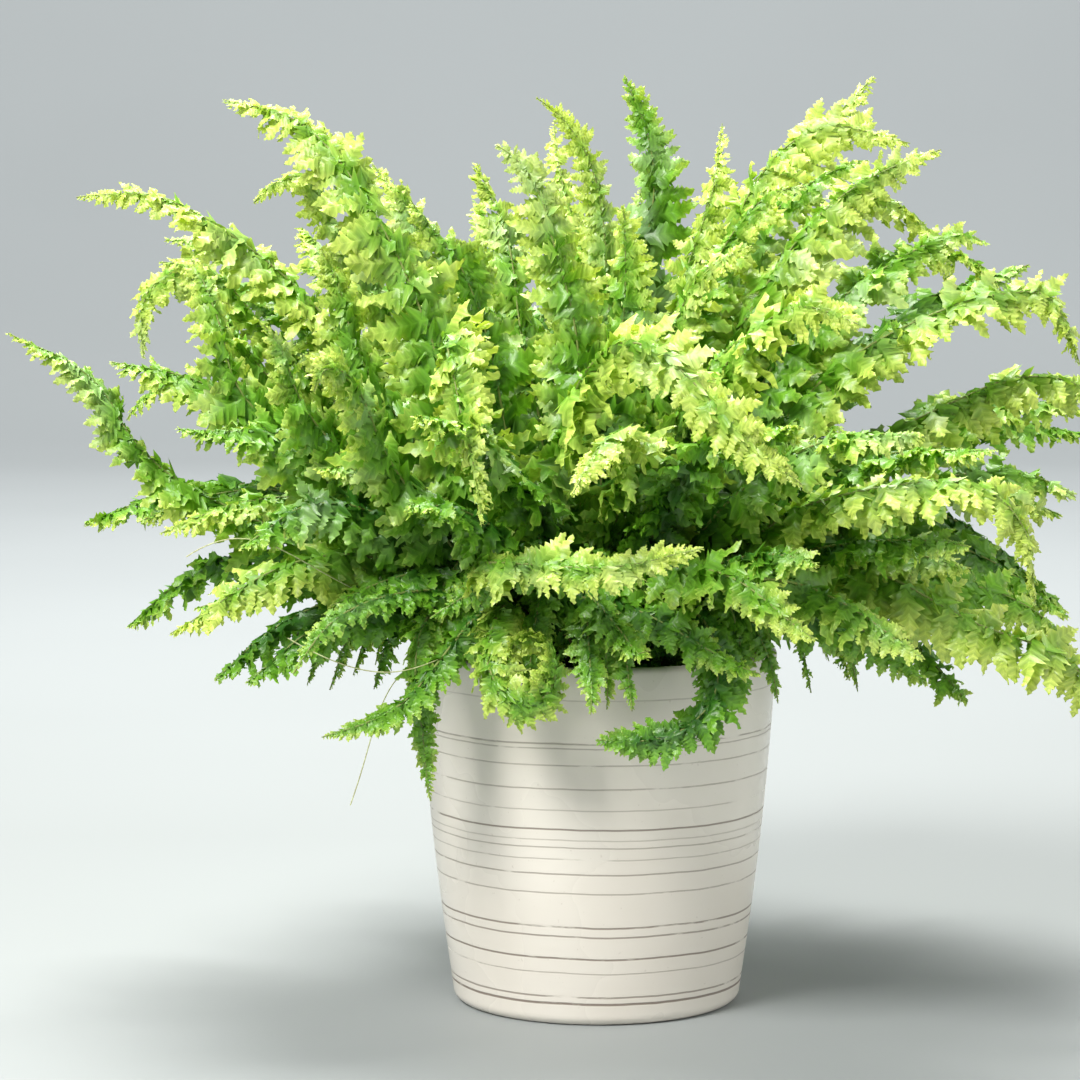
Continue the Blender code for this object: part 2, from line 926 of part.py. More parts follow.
def evaluated_triangles(obj):
    graph = bpy.context.evaluated_depsgraph_get()
    mesh = obj.evaluated_get(graph).to_mesh()
    mesh.calc_loop_triangles()
    points = np.array([v.co[:] for v in mesh.vertices])
    return points, np.array([t.vertices[:] for t in mesh.loop_triangles])


def unlikeness(nudge):
    """How much a nudge changes the look of a frond: a lift more than a swing, a roll the least."""
    swing, lift, roll = nudge
    return abs(swing) + 1.2 * abs(lift) + 0.25 * abs(roll)


def nudges(most_swing, most_lift):
    """Small turns of a frond, the least first: its swing, its lift and its roll in degrees."""
    swings = [most_swing * i / SWING_STEPS for i in range(-SWING_STEPS, SWING_STEPS + 1)]
    lifts = [most_lift * i / LIFT_STEPS for i in range(-LIFT_STEPS, LIFT_STEPS + 1)]
    tries = [(swing, lift, roll) for swing in swings for lift in lifts for roll in ROLLS]
    return sorted(tries, key=unlikeness)


def above_soil(points):
    """Whether all points past the collar stay over the soil, or are outside the pot."""
    radius = np.hypot(points[:, 0], points[:, 1])
    return bool(np.all((points[:, 2] > SOIL_EDGE + SOIL_DOME) | (radius > RIM_RADIUS)))


def bent_clear(frond, seat, crowd, mates, freedom):
    """The frond's surface and skin with the least nudge that keeps it clear of all others."""
    fewest, best = math.inf, None
    foot_height = STEM_FOOT + MATE_STEP * len(mates)
    for slim, nudge in itertools.product(SLIMS, nudges(*freedom)):
        spine = Spine(frond, seat, foot_height, nudge)
        surface = blade_surface(frond.leaf * slim, spine)
        if not above_soil(surface[0][2 * STEM_SPANS :]):
            continue
        around, faces = skin(*surface)
        over_fork = faces[np.all(around[faces, 2] > SOIL_EDGE + TUFT_FORK, axis=1)]
        crossings = crowd.crossings(around, faces)
        crossings += sum(mate.crossings(around, over_fork) for mate in mates)
        if crossings < fewest:
            fewest, best = crossings, (surface, (around, faces))
        if not crossings:
            break
    return best


def tuft_surfaces(fronds, seat, crowd, freedom):
    """The surfaces of the fronds that share a seat, each bent clear of all the others."""
    surfaces, mates = [], []
    for frond in fronds:
        surface, around = bent_clear(frond, seat, crowd, mates, freedom)
        surfaces.append(surface)
        mates.append(Crowd(*around))
    for mate in mates:
        crowd.add(mate.points, mate.faces)
    return surfaces


def make_frond(name, surface, collection, material):
    """One frond: its open surface, given its thickness."""
    points, faces, thickness = surface
    mesh = bpy.data.meshes.new(name)
    mesh.from_pydata(points.tolist(), [], faces.tolist())
    mesh.update()
    obj = make_object(name, mesh, collection, material)
    thinnest = LEAF_THICKNESS / STEM_THICKNESS
    group = obj.vertex_groups.new(name="thickness")
    for index, value in enumerate(thickness):
        weight = (value / STEM_THICKNESS - thinnest) / (1 - thinnest)
        group.add([index], max(weight, 0.0), "REPLACE")
    solid = obj.modifiers.new("thickness", "SOLIDIFY")
    solid.thickness = STEM_THICKNESS
    solid.offset = 0.0
    solid.vertex_group = group.name
    solid.thickness_vertex_group = thinnest
    return obj


def fuse(objects):
    """Joins the objects into one solid, which keeps the first one's name."""
    first, *others = objects
    if not others:
        return
    for other in others:
        join = first.modifiers.new("join", "BOOLEAN")
        join.operation = "UNION"
        join.solver = "EXACT"
        join.object = other
    graph = bpy.context.evaluated_depsgraph_get()
    mesh = bpy.data.meshes.new_from_object(first.evaluated_get(graph))
    first.modifiers.clear()
    first.data = mesh
    for other in others:
        bpy.data.objects.remove(other, do_unlink=True)


def grown_frond(heading, habit, chance):
    """A frond that leans out, bends over by its weight and sways a little to one side."""
    heading = math.radians(heading + chance.uniform(-HEADING_PLAY, HEADING_PLAY))
    lean = habit.lean + chance.uniform(-LEAN_PLAY, LEAN_PLAY)
    sway = math.radians(chance.uniform(-SWAY_PLAY, SWAY_PLAY))
    step = habit.length * chance.uniform(1 - LENGTH_PLAY, 1 + LENGTH_PLAY) / TUFT_STEPS
    start, height = TUFT_START
    point = np.array((start * math.cos(heading), start * math.sin(heading), height))
    points = []
    for share in (np.arange(TUFT_STEPS) + 0.5) / TUFT_STEPS:
        slope = math.radians(90 - lean - habit.bend * share**BEND_POWER)
        aim = heading + sway * share**2
        level = math.cos(slope)
        point = point + step * np.array(
            (level * math.cos(aim), level * math.sin(aim), math.sin(slope))
        )
        points.append(tuple(point))
    return Frond(tuple(points[3::4]), habit.leaf, 0.0, habit.age)


def tufts():
    """The fronds of each tuft, with small chance turns that are the same each time."""
    chance = random.Random(SEED)
    made = []
    for row in TUFTS:
        for i in range(row.count):
            heading = row.first + (row.last - row.first) * i / (row.count - 1)
            made.append([grown_frond(heading, habit, chance) for habit in row.habits])
    return made


def remove_all_objects():
    for obj in list(bpy.data.objects):
        bpy.data.objects.remove(obj, do_unlink=True)


def main():
    remove_all_objects()
    parts = make_collection("potted_boston_fern")
    cutters = make_collection("cutters")
    glaze = make_material("cream_glaze", (0.72, 0.68, 0.60), 0.22)
    earth = make_material("potting_soil", (0.045, 0.030, 0.020), 0.95)
    ages = (
        (0.34, make_material("new_frond", (0.40, 0.60, 0.07), 0.45)),
        (0.64, make_material("green_frond", (0.16, 0.40, 0.04), 0.45)),
        (1.01, make_material("old_frond", (0.06, 0.22, 0.03), 0.5)),
    )
    pot = make_pot(parts, glaze)
    shown = [*FRONT_FRONDS, *LEFT_FRONDS, *RIGHT_FRONDS, *TOP_FRONDS]
    plan = [([frond], SHOWN_FREEDOM) for frond in shown]
    plan += [(fronds, TUFT_FREEDOM) for fronds in tufts()]
    seats = seat_places([fronds[0] for fronds, freedom in plan])
    crowd = Crowd(*evaluated_triangles(pot))
    for number, ((fronds, freedom), seat) in enumerate(zip(plan, seats), start=1):
        material = next(made for limit, made in ages if fronds[0].age <= limit)
        surfaces = tuft_surfaces(fronds, seat, crowd, freedom)
        fuse([make_frond(f"frond_{number:02d}", surface, parts, material) for surface in surfaces])
    make_soil(parts, cutters, earth, seats)


main()
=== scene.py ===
"""The looks of a potted Boston fern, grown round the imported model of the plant.

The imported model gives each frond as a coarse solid. Its rib, the way that its face turns and the
reach of its leaflets are read from there, and the ruffled leaflets are grown along them. Young
fronds are added in the widest rooms between those, and short ones all round the rim. Lengths are
in metres, with +Z up and the front of the plant towards -Y.
"""

import collections
import itertools
import json
import math

import bpy
import numpy as np
from bpy.props import FloatProperty, FloatVectorProperty, IntProperty, PointerProperty
from bpy.types import Operator, Panel, PropertyGroup
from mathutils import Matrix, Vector


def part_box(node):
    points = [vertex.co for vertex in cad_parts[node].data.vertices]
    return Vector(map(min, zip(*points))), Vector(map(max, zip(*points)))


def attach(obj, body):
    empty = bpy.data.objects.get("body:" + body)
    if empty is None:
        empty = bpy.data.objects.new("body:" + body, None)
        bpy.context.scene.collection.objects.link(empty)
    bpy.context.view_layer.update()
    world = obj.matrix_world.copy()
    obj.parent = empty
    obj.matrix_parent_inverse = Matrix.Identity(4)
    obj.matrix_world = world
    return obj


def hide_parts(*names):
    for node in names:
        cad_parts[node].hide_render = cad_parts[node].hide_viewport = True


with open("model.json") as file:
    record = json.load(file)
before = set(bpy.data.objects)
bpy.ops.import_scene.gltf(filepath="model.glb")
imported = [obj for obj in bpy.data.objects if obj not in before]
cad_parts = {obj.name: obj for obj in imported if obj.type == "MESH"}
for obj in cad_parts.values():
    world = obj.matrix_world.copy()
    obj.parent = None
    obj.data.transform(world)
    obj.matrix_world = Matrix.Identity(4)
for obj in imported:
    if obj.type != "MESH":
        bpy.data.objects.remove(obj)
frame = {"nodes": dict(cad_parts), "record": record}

bl_info = {
    "name": "Potted Boston fern",
    "version": (1, 0, 0),
    "blender": (4, 5, 0),
    "location": "View3D > Sidebar > Fern",
    "description": "Grows the leaflets of a Boston fern and turns its glazed pot round a packed model",
    "category": "Object",
}

UP = np.array((0.0, 0.0, 1.0))

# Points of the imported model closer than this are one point
SAME_POINT = 1e-5

# Points across a rib are closer than this, and all others are further apart
RIB_REACH = 0.0024

# Young fronds grow halfway between packed ones whose tips are this far apart, at most this many.
# No other tip is closer to theirs than the least room, and they are this long beside the two
TIPS_APART = (0.045, 0.140)
MOST_YOUNG = 34
LEAST_ROOM = 0.030
YOUNG_LENGTH = 0.95

# Each leaflet is a grid of this many rows along it and columns across it, fine for large ones and
# coarse for small ones, in as many forms as this, and a leaflet shorter than this is a small one
FINE_GRID = (14, 2)
COARSE_GRID = (8, 2)
LEAFLET_FORMS = 14
SMALL_LEAFLET = 0.0095

# The pieces that the fronds are grown as: the nodes that each one stands for, by their numbers
FROND_PIECES = {
    "front_fronds": range(1, 10),
    "upper_front_fronds": range(10, 20),
    "left_fronds": range(20, 30),
    "right_fronds": range(30, 41),
    "crown_fronds": range(41, 46),
    "front_tufts": range(46, 50),
    "back_tufts_right": range(50, 53),
    "back_tufts_left": range(53, 56),
    "inner_tufts": range(56, 59),
}

# How long the leaflets of some fronds are, and how far apart, beside those of the others
GROWTH = {
    "frond_01": (1.20, 0.70),
    "frond_02": (1.12, 0.62),
    "frond_03": (0.80, 0.80),
    "frond_04": (0.90, 0.80),
    "frond_05": (0.75, 0.90),
    "frond_06": (0.80, 0.90),
    "frond_07": (0.80, 0.90),
    "frond_08": (0.85, 0.95),
    "frond_09": (0.85, 0.95),
    "frond_43": (1.30, 1.00),
}

# Fronds whose tips wind on in a spiral: the turn, and its radius at the start and the end
SPIRALS = {"frond_01": (math.radians(290), 0.0115, 0.0050)}

# Short fronds round the rim: how many, their leaflets' length, how far along these are full, and
# the way that the fronds take, by the distance from the middle and the height over the soil
RIM_FRONDS = 28
RIM_LEAFLET = 0.0112
RIM_FIRST = 0.030
RIM_ROUTE = (
    (0.036, -0.004),
    (0.048, 0.026),
    (0.064, 0.047),
    (0.086, 0.051),
    (0.106, 0.038),
    (0.119, 0.016),
    (0.125, -0.004),
)

# How a rib sways: the lengths of its quick and its slow waves, how far it strays to its sides, how
# far its face turns with each wave, and how bluntly its row of leaflets ends
QUICK_WAVE = (0.055, 0.085)
SLOW_WAVE = (0.10, 0.15)
MOST_STRAY = 0.0030
QUICK_TURN = math.radians(20)
SLOW_TURN = math.radians(12)
BLUNTNESS = (2.8, 6.0)

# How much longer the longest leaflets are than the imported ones
LONGER = 1.30

# The mound's middle and its half sizes: a leaflet well inside them is painted darker, as the shade that
# falls inside the mound
MOUND_MIDDLE = (0, 0, 0.16)
MOUND_REACH = (0.26, 0.22, 0.26)

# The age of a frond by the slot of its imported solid, from new at 0 to old at 1, and its spread
SLOT_AGES = {"new_frond": 0.18, "green_frond": 0.50, "old_frond": 0.80}
AGE_SPREAD = 0.10

# The room between the pot's wall and the fronds, and the lowest that a frond may hang
WALL_ROOM = 0.0012
LOWEST = 0.004

# How far the top of the soil drops from the middle to the wall
SOIL_DROP = 0.0038

# A rib: its points, the places where its leaflets stand, the way across there, and their reach
Rib = collections.namedtuple("Rib", "points places sides reach")

# Part of a mesh: its points and faces, and for each point what the materials read there and its
# place in the square that the leaflet has in the map
Shape = collections.namedtuple("Shape", "points faces look cells")


def property_kind(kind, **limits):
    """A short way to write properties that have the same limits and units."""

    def written(name, description, default):
        return kind(name=name, description=description, default=default, **limits)

    return written


colour_property = property_kind(FloatVectorProperty, subtype="COLOR", min=0, max=1, size=3)
length_property = property_kind(FloatProperty, unit="LENGTH", min=0, precision=4)
share_property = property_kind(FloatProperty, subtype="FACTOR", min=0, max=1)
angle_property = property_kind(FloatProperty, subtype="ANGLE")
power_property = property_kind(FloatProperty, unit="POWER", min=0)
count_property = property_kind(IntProperty, min=0)


class FernFrondSettings(PropertyGroup):
    """How the leaflets grow along each rib"""

    spacing: share_property(
        "Spacing", "Distance between leaflets beside the length of the leaflets there", 0.205
    )
    least_spacing: length_property(
        "Least spacing", "Distance between the smallest leaflets", 0.0019
    )
    width: share_property("Width", "Half the width of a leaflet beside its length", 0.33)
    tooth: share_property("Notch depth", "Depth of the notches beside the half width", 0.40)
    ruffle: share_property("Ruffle", "Height of the ruffled edge beside the half width", 0.44)
    droop: angle_property("Droop", "How far leaflets hang from the blade of the frond", math.radians(20))
    sweep: angle_property("Sweep", "How far leaflets point to the frond's tip", math.radians(16))
    twist: angle_property("Twist", "How far a leaflet may turn about its own length", math.radians(26))
    rib_width: length_property("Rib width", "Thickness of a stem over the soil", 0.0024)
    seed: count_property("Seed", "Start of the random draws", 11)
    tip_colour: colour_property("Tips", "Colour of new growth", (0.64, 0.79, 0.15))
    leaf_colour: colour_property("Leaf", "Colour of a grown leaflet", (0.195, 0.46, 0.03))
    old_colour: colour_property("Old leaf", "Colour of old leaflets", (0.05, 0.20, 0.016))
    rib_colour: colour_property("Ribs", "Colour of the ribs", (0.23, 0.30, 0.07))
    stem_colour: colour_property("Stems", "Colour of the stems at the soil", (0.12, 0.07, 0.03))


class FernPotSettings(PropertyGroup):
    """The pot and its soil"""

    sides: IntProperty(name="Sides", description="Faces round the pot", default=192, min=24)
    glaze_colour: colour_property("Glaze", "Colour of the glaze", (0.86, 0.81, 0.73))
    clay_colour: colour_property("Lines", "Colour of the turned lines", (0.29, 0.24, 0.20))
    line_wobble: length_property("Wobble", "How far a turned line strays", 0.0006)
    soil_colour: colour_property("Soil", "Colour of the soil", (0.05, 0.032, 0.02))
    crumbs: count_property("Crumbs", "Crumbs on the soil", 420)
    seed: count_property("Seed", "Start of the random draws", 5)


class FernStageSettings(PropertyGroup):
    """The floor, the light and the camera"""

    floor_colour: colour_property("Floor", "Colour of the floor", (0.36, 0.385, 0.39))
    floor_radius: length_property("Floor radius", "Where the floor starts to rise", 4.0)
    key_power: power_property("Key light", "Power of the main light", 92)
    top_power: power_property("Top light", "Power of the light above", 76)
    fill_power: power_property("Fill light", "Power of the weak light", 14)
    edge_power: power_property("Edge light", "Power of the strip at the side", 5)
    far_power: power_property("Backdrop light", "Power of the far light", 260)
    sky: FloatProperty(name="Sky", description="Strength of the light all round", default=0.30)


def unit(vectors):
    """The vectors at length 1."""
    return vectors / np.maximum(np.linalg.norm(vectors, axis=-1, keepdims=True), 1e-12)


def run_along(line):
    """The distance along a line at each of its points."""
    return np.concatenate([[0], np.cumsum(np.linalg.norm(np.diff(line, axis=0), axis=1))])


def vectors_at(run, known, vectors):
    """The vectors at distances along a line, between those at known distances."""
    return np.column_stack([np.interp(run, known, vectors[:, k]) for k in range(3)])


def rolled(first, second, turn):
    """Two vectors at right angles, turned in their plane, the first one towards the second."""
    c, s = np.cos(turn)[:, None], np.sin(turn)[:, None]
    return first * c + second * s, second * c - first * s


def merged_points(mesh):
    """The mesh's points, with those at one place made one, and the edges between them."""
    points = np.empty(len(mesh.vertices) * 3, np.float32)
    mesh.vertices.foreach_get("co", points)
    points = points.reshape(-1, 3).astype(float)
    places = np.round(points / SAME_POINT).astype(np.int64)
    _, first, index = np.unique(places, axis=0, return_index=True, return_inverse=True)
    edges = np.empty(len(mesh.edges) * 2, np.int32)
    mesh.edges.foreach_get("vertices", edges)
    edges = np.sort(index.reshape(-1)[edges.reshape(-1, 2)], axis=1)
    return points[first], np.unique(edges[edges[:, 0] != edges[:, 1]], axis=0)


def point_groups(points, edges):
    """For each point, the group of close points that it belongs to."""
    parent = list(range(len(points)))

    def top(i):
        while parent[i] != i:
            i = parent[i]
        return i

    length = np.linalg.norm(points[edges[:, 0]] - points[edges[:, 1]], axis=1)
    for a, b in edges[length < RIB_REACH].tolist():
        parent[top(a)] = top(b)
    return np.array([top(i) for i in range(len(points))])


def rib_path(tip, near, count):
    """The groups that one rib passes, from its tip down to where ribs meet."""
    path = [tip]
    onward = list(near[tip])
    while len(onward) == 1:
        path.append(onward[0])
        onward = [g for g in near[path[-1]] if count[g] > 2 and g not in path]
    return path


def ribs_of(node):
    """Each rib in a packed frond or tuft, from the soil to its tip."""
    points, edges = merged_points(node.data)
    group = point_groups(points, edges)
    count = collections.Counter(group.tolist())
    centre = {g: points[group == g].mean(axis=0) for g in count}
    near = collections.defaultdict(set)
    for a, b in group[edges].tolist():
        if a != b:
            near[a].add(b)
            near[b].add(a)
    potted = points[np.hypot(points[:, 0], points[:, 1]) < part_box("soil")[1].x]
    foot = potted[potted[:, 2] < potted[:, 2].min() + RIB_REACH].mean(axis=0)
    ribs = []
    for tip in sorted(g for g in count if count[g] <= 2 and len(near[g]) == 1):
        path = rib_path(tip, near, count)
        places, sides, hangs = [], [], []
        for outer, inner in zip(path[1:], path[2:]):
            leaflets = sorted(g for g in near[outer] & near[inner] if count[g] <= 2)
            if len(leaflets) != 2:
                continue
            across = centre[leaflets[1]] - centre[leaflets[0]]
            if sides and across @ sides[-1] < 0:
                across = -across
            middle = (centre[outer] + centre[inner]) / 2
            places.append(middle)
            sides.append(across)
            hangs.append((centre[leaflets[0]] + centre[leaflets[1]]) / 2 - middle)
        line = [centre[g] for g in path if np.linalg.norm(centre[g] - foot) > 2 * RIB_REACH]
        ribs.append(rib_from([*line, foot], places, sides, hangs))
    return ribs


def rib_from(line, places, sides, hangs):
    """One rib from the soil up: its points, and where leaflets stand, the way across and their reach."""
    line = np.array(line)[::-1]
    places, sides, hangs = (np.array(values)[::-1] for values in (places, sides, hangs))
    forward = unit(np.gradient(line, axis=0))
    at_leaf = [int(np.argmin(np.linalg.norm(line - p, axis=1))) for p in places]
    if np.sum(np.cross(sides, forward[at_leaf]) * hangs) > 0:
        sides = -sides
    return Rib(line, places, sides, np.linalg.norm(sides, axis=1).max() / 2)


def smooth_line(points, spans=10):
    """A fine line along the centripetal Catmull-Rom curve through the points."""
    ends = np.vstack([2 * points[0] - points[1], points, 2 * points[-1] - points[-2]])
    line = [points[0]]
    for p0, p1, p2, p3 in zip(ends, ends[1:], ends[2:], ends[3:]):
        t1 = math.sqrt(np.linalg.norm(p1 - p0))
        t2 = t1 + math.sqrt(np.linalg.norm(p2 - p1))
        t3 = t2 + math.sqrt(np.linalg.norm(p3 - p2))
        for t in np.linspace(t1, t2, spans + 1)[1:]:
            a1 = p0 + (p1 - p0) * t / t1
            a2 = p1 + (p2 - p1) * (t - t1) / (t2 - t1)
            a3 = p2 + (p3 - p2) * (t - t2) / (t3 - t2)
            b1 = a1 + (a2 - a1) * t / t2
            b2 = a2 + (a3 - a2) * (t - t1) / (t3 - t1)
            line.append(b1 + (b2 - b1) * (t - t1) / (t2 - t1))
    return np.array(line)


class Blade:
    """A rib as a smooth line, with its forward, side and face vectors and the leaflets' reach."""

    def __init__(self, line, side, first, longest):
        self.line = line
        self.run = run_along(line)
        self.length = self.run[-1]
        self.forward = unit(np.gradient(line, axis=0))
        self.side = unit(side - self.forward * np.sum(side * self.forward, axis=1)[:, None])
        self.face = np.cross(self.side, self.forward)
        self.first = first
        self.longest = longest
        self.blunt = BLUNTNESS[0]
        self.spacing = 1.0

    def sway(self, chance):
        """Waves the rib to its sides, turns its face to and fro and draws how bluntly it ends."""
        share = self.run / self.length
        quick = 2 * math.pi * self.run / chance.uniform(*QUICK_WAVE) + chance.uniform(0, 6)
        slow = 2 * math.pi * self.run / chance.uniform(*SLOW_WAVE) + chance.uniform(0, 6)
        self.line = self.line + self.side * (MOST_STRAY * share * np.sin(slow))[:, None]
        turn = QUICK_TURN * share * np.sin(quick) + SLOW_TURN * np.sin(slow)
        self.side, self.face = rolled(self.side, self.face, turn)
        self.blunt = chance.uniform(*BLUNTNESS)

    def at(self, run):
        """The point and the forward, side and face vectors at distances along the rib."""
        ways = [vectors_at(run, self.run, way) for way in (self.forward, self.side, self.face)]
        return vectors_at(run, self.run, self.line), *map(unit, ways)

    def reach(self, run):
        """The length of the leaflets at distances along the rib."""
        along = np.clip((run - self.first) / (self.length - self.first), 0, 1)
        base = np.interp(run / self.first, (0.15, 0.6, 1.0), (0.25, 0.75, 1.0))
        return self.longest * LONGER * base * (1.03 - along**self.blunt) ** 0.75 * (1 - 0.22 * along)


def packed_blade(rib):
    """The blade along a packed rib."""
    line = smooth_line(rib.points)
    run = run_along(line)
    at = [run[np.argmin(np.linalg.norm(line - p, axis=1))] for p in rib.places]
    across = unit(rib.sides + np.roll(rib.sides, 1, axis=0) * 0.6)
    return Blade(line, vectors_at(run, at, across), at[0], rib.reach)


def packed_blades(nodes):
    """The blades of each packed frond or tuft."""
    found = {}
    for node in nodes:
        size, spacing = GROWTH.get(node, (1.0, 1.0))
        found[node] = []
        for rib in ribs_of(frame["nodes"][node]):
            blade = packed_blade(wound(rib, *SPIRALS[node]) if node in SPIRALS else rib)
            blade.longest *= size
            blade.spacing = spacing
            found[node].append(blade)
    return found


def wound(rib, turn, start, end):
    """The rib with its tip wound on in a spiral, the way that it bends already."""
    line = smooth_line(rib.points)
    forward = unit(line[-1] - line[-6])
    bend = forward - unit(line[-20] - line[-30])
    inward = unit(bend - forward * (bend @ forward))
    place, added = line[-1], []
    steps = 12
    for step in range(steps):
        angle = turn * (step + 0.5) / steps
        radius = start + (end - start) * step / steps
        ahead = forward * math.cos(angle) + inward * math.sin(angle)
        place = place + ahead * radius * turn / steps
        added.append(place)
    return rib._replace(points=np.vstack([rib.points, added]))


def rim_blades(soil_top, chance):
    """Short blades all round that rise from the soil and hang over the rim."""
    blades = []
    for number in range(RIM_FRONDS):
        heading = 2 * math.pi * (number + chance.uniform(-0.2, 0.2)) / RIM_FRONDS
        bend = chance.uniform(-0.25, 0.25)
        long = chance.uniform(0.90, 1.12)
        lift = chance.uniform(0.75, 1.30)
        route = []
        for away, up in RIM_ROUTE:
            turn = heading + bend * away / RIM_ROUTE[-1][0]
            height = soil_top + up * (lift if up > 0 else 1)
            route.append((away * long * math.cos(turn), away * long * math.sin(turn), height))
        line = smooth_line(np.array(route))
        outward = np.array((math.cos(heading), math.sin(heading), 0.0))
        side = np.broadcast_to(np.cross(outward, UP), line.shape)
        blades.append(Blade(line, side, RIM_FIRST, RIM_LEAFLET))
    return blades


def blade_between(one, other):
    """A young blade halfway between two packed ones, a little shorter than they are."""
    shares = np.linspace(0, YOUNG_LENGTH, 90)
    halves = [blade.at(shares * blade.length) for blade in (one, other)]
    line = (halves[0][0] + halves[1][0]) / 2
    side = (halves[0][2] + halves[1][2]) / 2
    return Blade(line, side, (one.first + other.first) / 2, (one.longest + other.longest) / 2)


def young_blades(packed):
    """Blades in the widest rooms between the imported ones, widest first."""
    tips = [blade.line[-1] for blade in packed]
    found = []
    for i, j in itertools.combinations(range(len(packed)), 2):
        if TIPS_APART[0] < np.linalg.norm(tips[i] - tips[j]) < TIPS_APART[1]:
            found.append(blade_between(packed[i], packed[j]))
    chosen = []
    while found and len(chosen) < MOST_YOUNG:
        room = [min(np.linalg.norm(blade.line[-1] - tip) for tip in tips) for blade in found]
        best = int(np.argmax(room))
        if room[best] < LEAST_ROOM:
            break
        chosen.append(found.pop(best))
        tips.append(chosen[-1].line[-1])
    return chosen


def leaflet_form(grid, chance, settings):
    """One toothed and pleated leaflet of length 1 along X, face up: its points, looks and cells."""
    rows, columns = grid
    row = np.arange(rows + 1)[:, None]
    across = np.linspace(-1, 1, columns + 1)[None, :]
    off = np.abs(across)
    left = across < 0
    tooth = np.where(left, row + 1, row) % 2
    uneven = chance.uniform(-0.35, 0.35, (rows + 1, 1)) * (row % rows > 0)
    along = ((row + uneven) / rows) ** 0.94
    # Half the width: narrow at the foot, pointed at the end, with an ear on one side
    half = settings.width * (1 - along) ** chance.uniform(0.50, 0.80)
    half = half * np.interp(along, (0.0, 0.09, 0.30, 1.0), (0.55, 1.0, 1.10, 1.0))
    half = half + np.where(left, 0.0, 0.10) * np.exp(-((along / 0.10) ** 2))
    halves = [0] * (columns // 2) + [1] * (columns // 2 + 1)
    half = half * (1 + chance.uniform(-0.16, 0.16, (rows + 1, 2)))[:, halves]
    # Teeth that point forward, on every other row of each half
    notch = settings.tooth * off**2 * (1 - tooth)
    x = along + half * off * (0.34 + 0.20 * tooth * off) * (1 - 0.5 * along)
    y = across * half * (1 - notch)
    # Pleats, the ruffled edge, some unevenness, and a bend along the leaflet and to one side
    pleat = (tooth - 0.5) * 0.050 * np.sin(math.pi * np.minimum(off, 0.8)) * (1 - 0.6 * along)
    phase, waves = chance.uniform(0, 2 * math.pi), chance.uniform(1.0, 2.6)
    wave = np.sin(2 * math.pi * waves * along + phase + np.where(left, 1.9, 0.0))
    z = pleat + off**1.5 * half * (settings.ruffle * wave - chance.uniform(-0.15, 0.65))
    z = z + off**2 * chance.uniform(-0.05, 0.03, (rows + 1, columns + 1))
    z = z - chance.uniform(-0.05, 0.42) * along**2 + 0.03 * np.sin(6 * along + chance.uniform(0, 6))
    y = y + chance.uniform(-0.08, 0.20) * along**2
    points = np.stack(np.broadcast_arrays(x, y, z), axis=-1).reshape(-1, 3)
    cells = np.stack(np.broadcast_arrays(row / rows, (across + 1) / 2), axis=-1).reshape(-1, 2)
    vein = np.where(left, row - 1, row) / 2
    look = np.stack(np.broadcast_arrays(along, across, vein), axis=-1).reshape(-1, 3)
    return points, look, cells


def grid_faces(grid):
    """The faces of one leaflet, by the numbers of its points."""
    rows, columns = grid
    faces = []
    for row in range(rows):
        for column in range(columns):
            a = row * (columns + 1) + column
            faces.append((a, a + columns + 1, a + columns + 2, a + 1))
    return np.array(faces)


class LeafletForms:
    """The forms that all leaflets of one grid share."""

    def __init__(self, grid, settings):
        chance = np.random.default_rng(settings.seed)
        made = [leaflet_form(grid, chance, settings) for _ in range(LEAFLET_FORMS)]
        self.points = np.array([points for points, _, _ in made])
        self.look = made[0][1]
        self.faces = grid_faces(grid)
        self.flat = made[0][2]


def leaflet_places(blade, settings):
    """Distances along the rib at which leaflets stand, closer where they are short."""
    run = blade.first * 0.25
    places = []
    while run < blade.length - 0.0006:
        places.append(run)
        size = float(blade.reach(run))
        wide = 1.6 if run < blade.first else 1.0
        run += max(settings.least_spacing, settings.spacing * size) * wide * blade.spacing
    return np.array(places)


def leaflets(blade, settings, chance):
    """Where each leaflet stands, the ways that it points, its length, its share and its side."""
    run = np.repeat(leaflet_places(blade, settings), 2)
    sign = np.tile((1.0, -1.0), len(run) // 2)
    shift = sign * 0.18 + chance.uniform(-0.25, 0.25, len(run))
    run = run + shift * settings.spacing * blade.reach(run)
    run = np.clip(run, 0, blade.length - 1e-4)
    point, forward, side, face = blade.at(run)
    length = blade.reach(run) * np.clip(chance.normal(1.0, 0.13, len(run)), 0.7, 1.3)
    share = (run - blade.first) / (blade.length - blade.first)
    # Leaflets crowd forward over the last fifth of the frond
    crowd = np.clip((share - 0.80) / 0.20, 0, 1)
    sweep = settings.sweep * chance.uniform(0.2, 2.0, len(run)) + crowd**1.5 * math.radians(48)
    droop = settings.droop + chance.normal(0, math.radians(14), len(run)) - crowd * math.radians(10)
    # Each starts a little past the rib and over it, so that the pairs meet
    point = point - side * (sign * length * 0.06)[:, None] + face * (length * 0.05)[:, None]
    out = side * (sign * np.cos(sweep))[:, None] + forward * np.sin(sweep)[:, None]
    out = unit(out * np.cos(droop)[:, None] - face * np.sin(droop)[:, None] - 0.16 * UP)
    width = unit(np.cross(face, out)) * sign[:, None]
    width = unit(width - out * np.sum(width * out, axis=1)[:, None])
    top = np.cross(out, width) * sign[:, None]
    twist = chance.normal(0.3, 0.8, len(run)) * settings.twist * sign
    width, top = rolled(width, top, twist)
    return point, out, width, top, length, share, sign


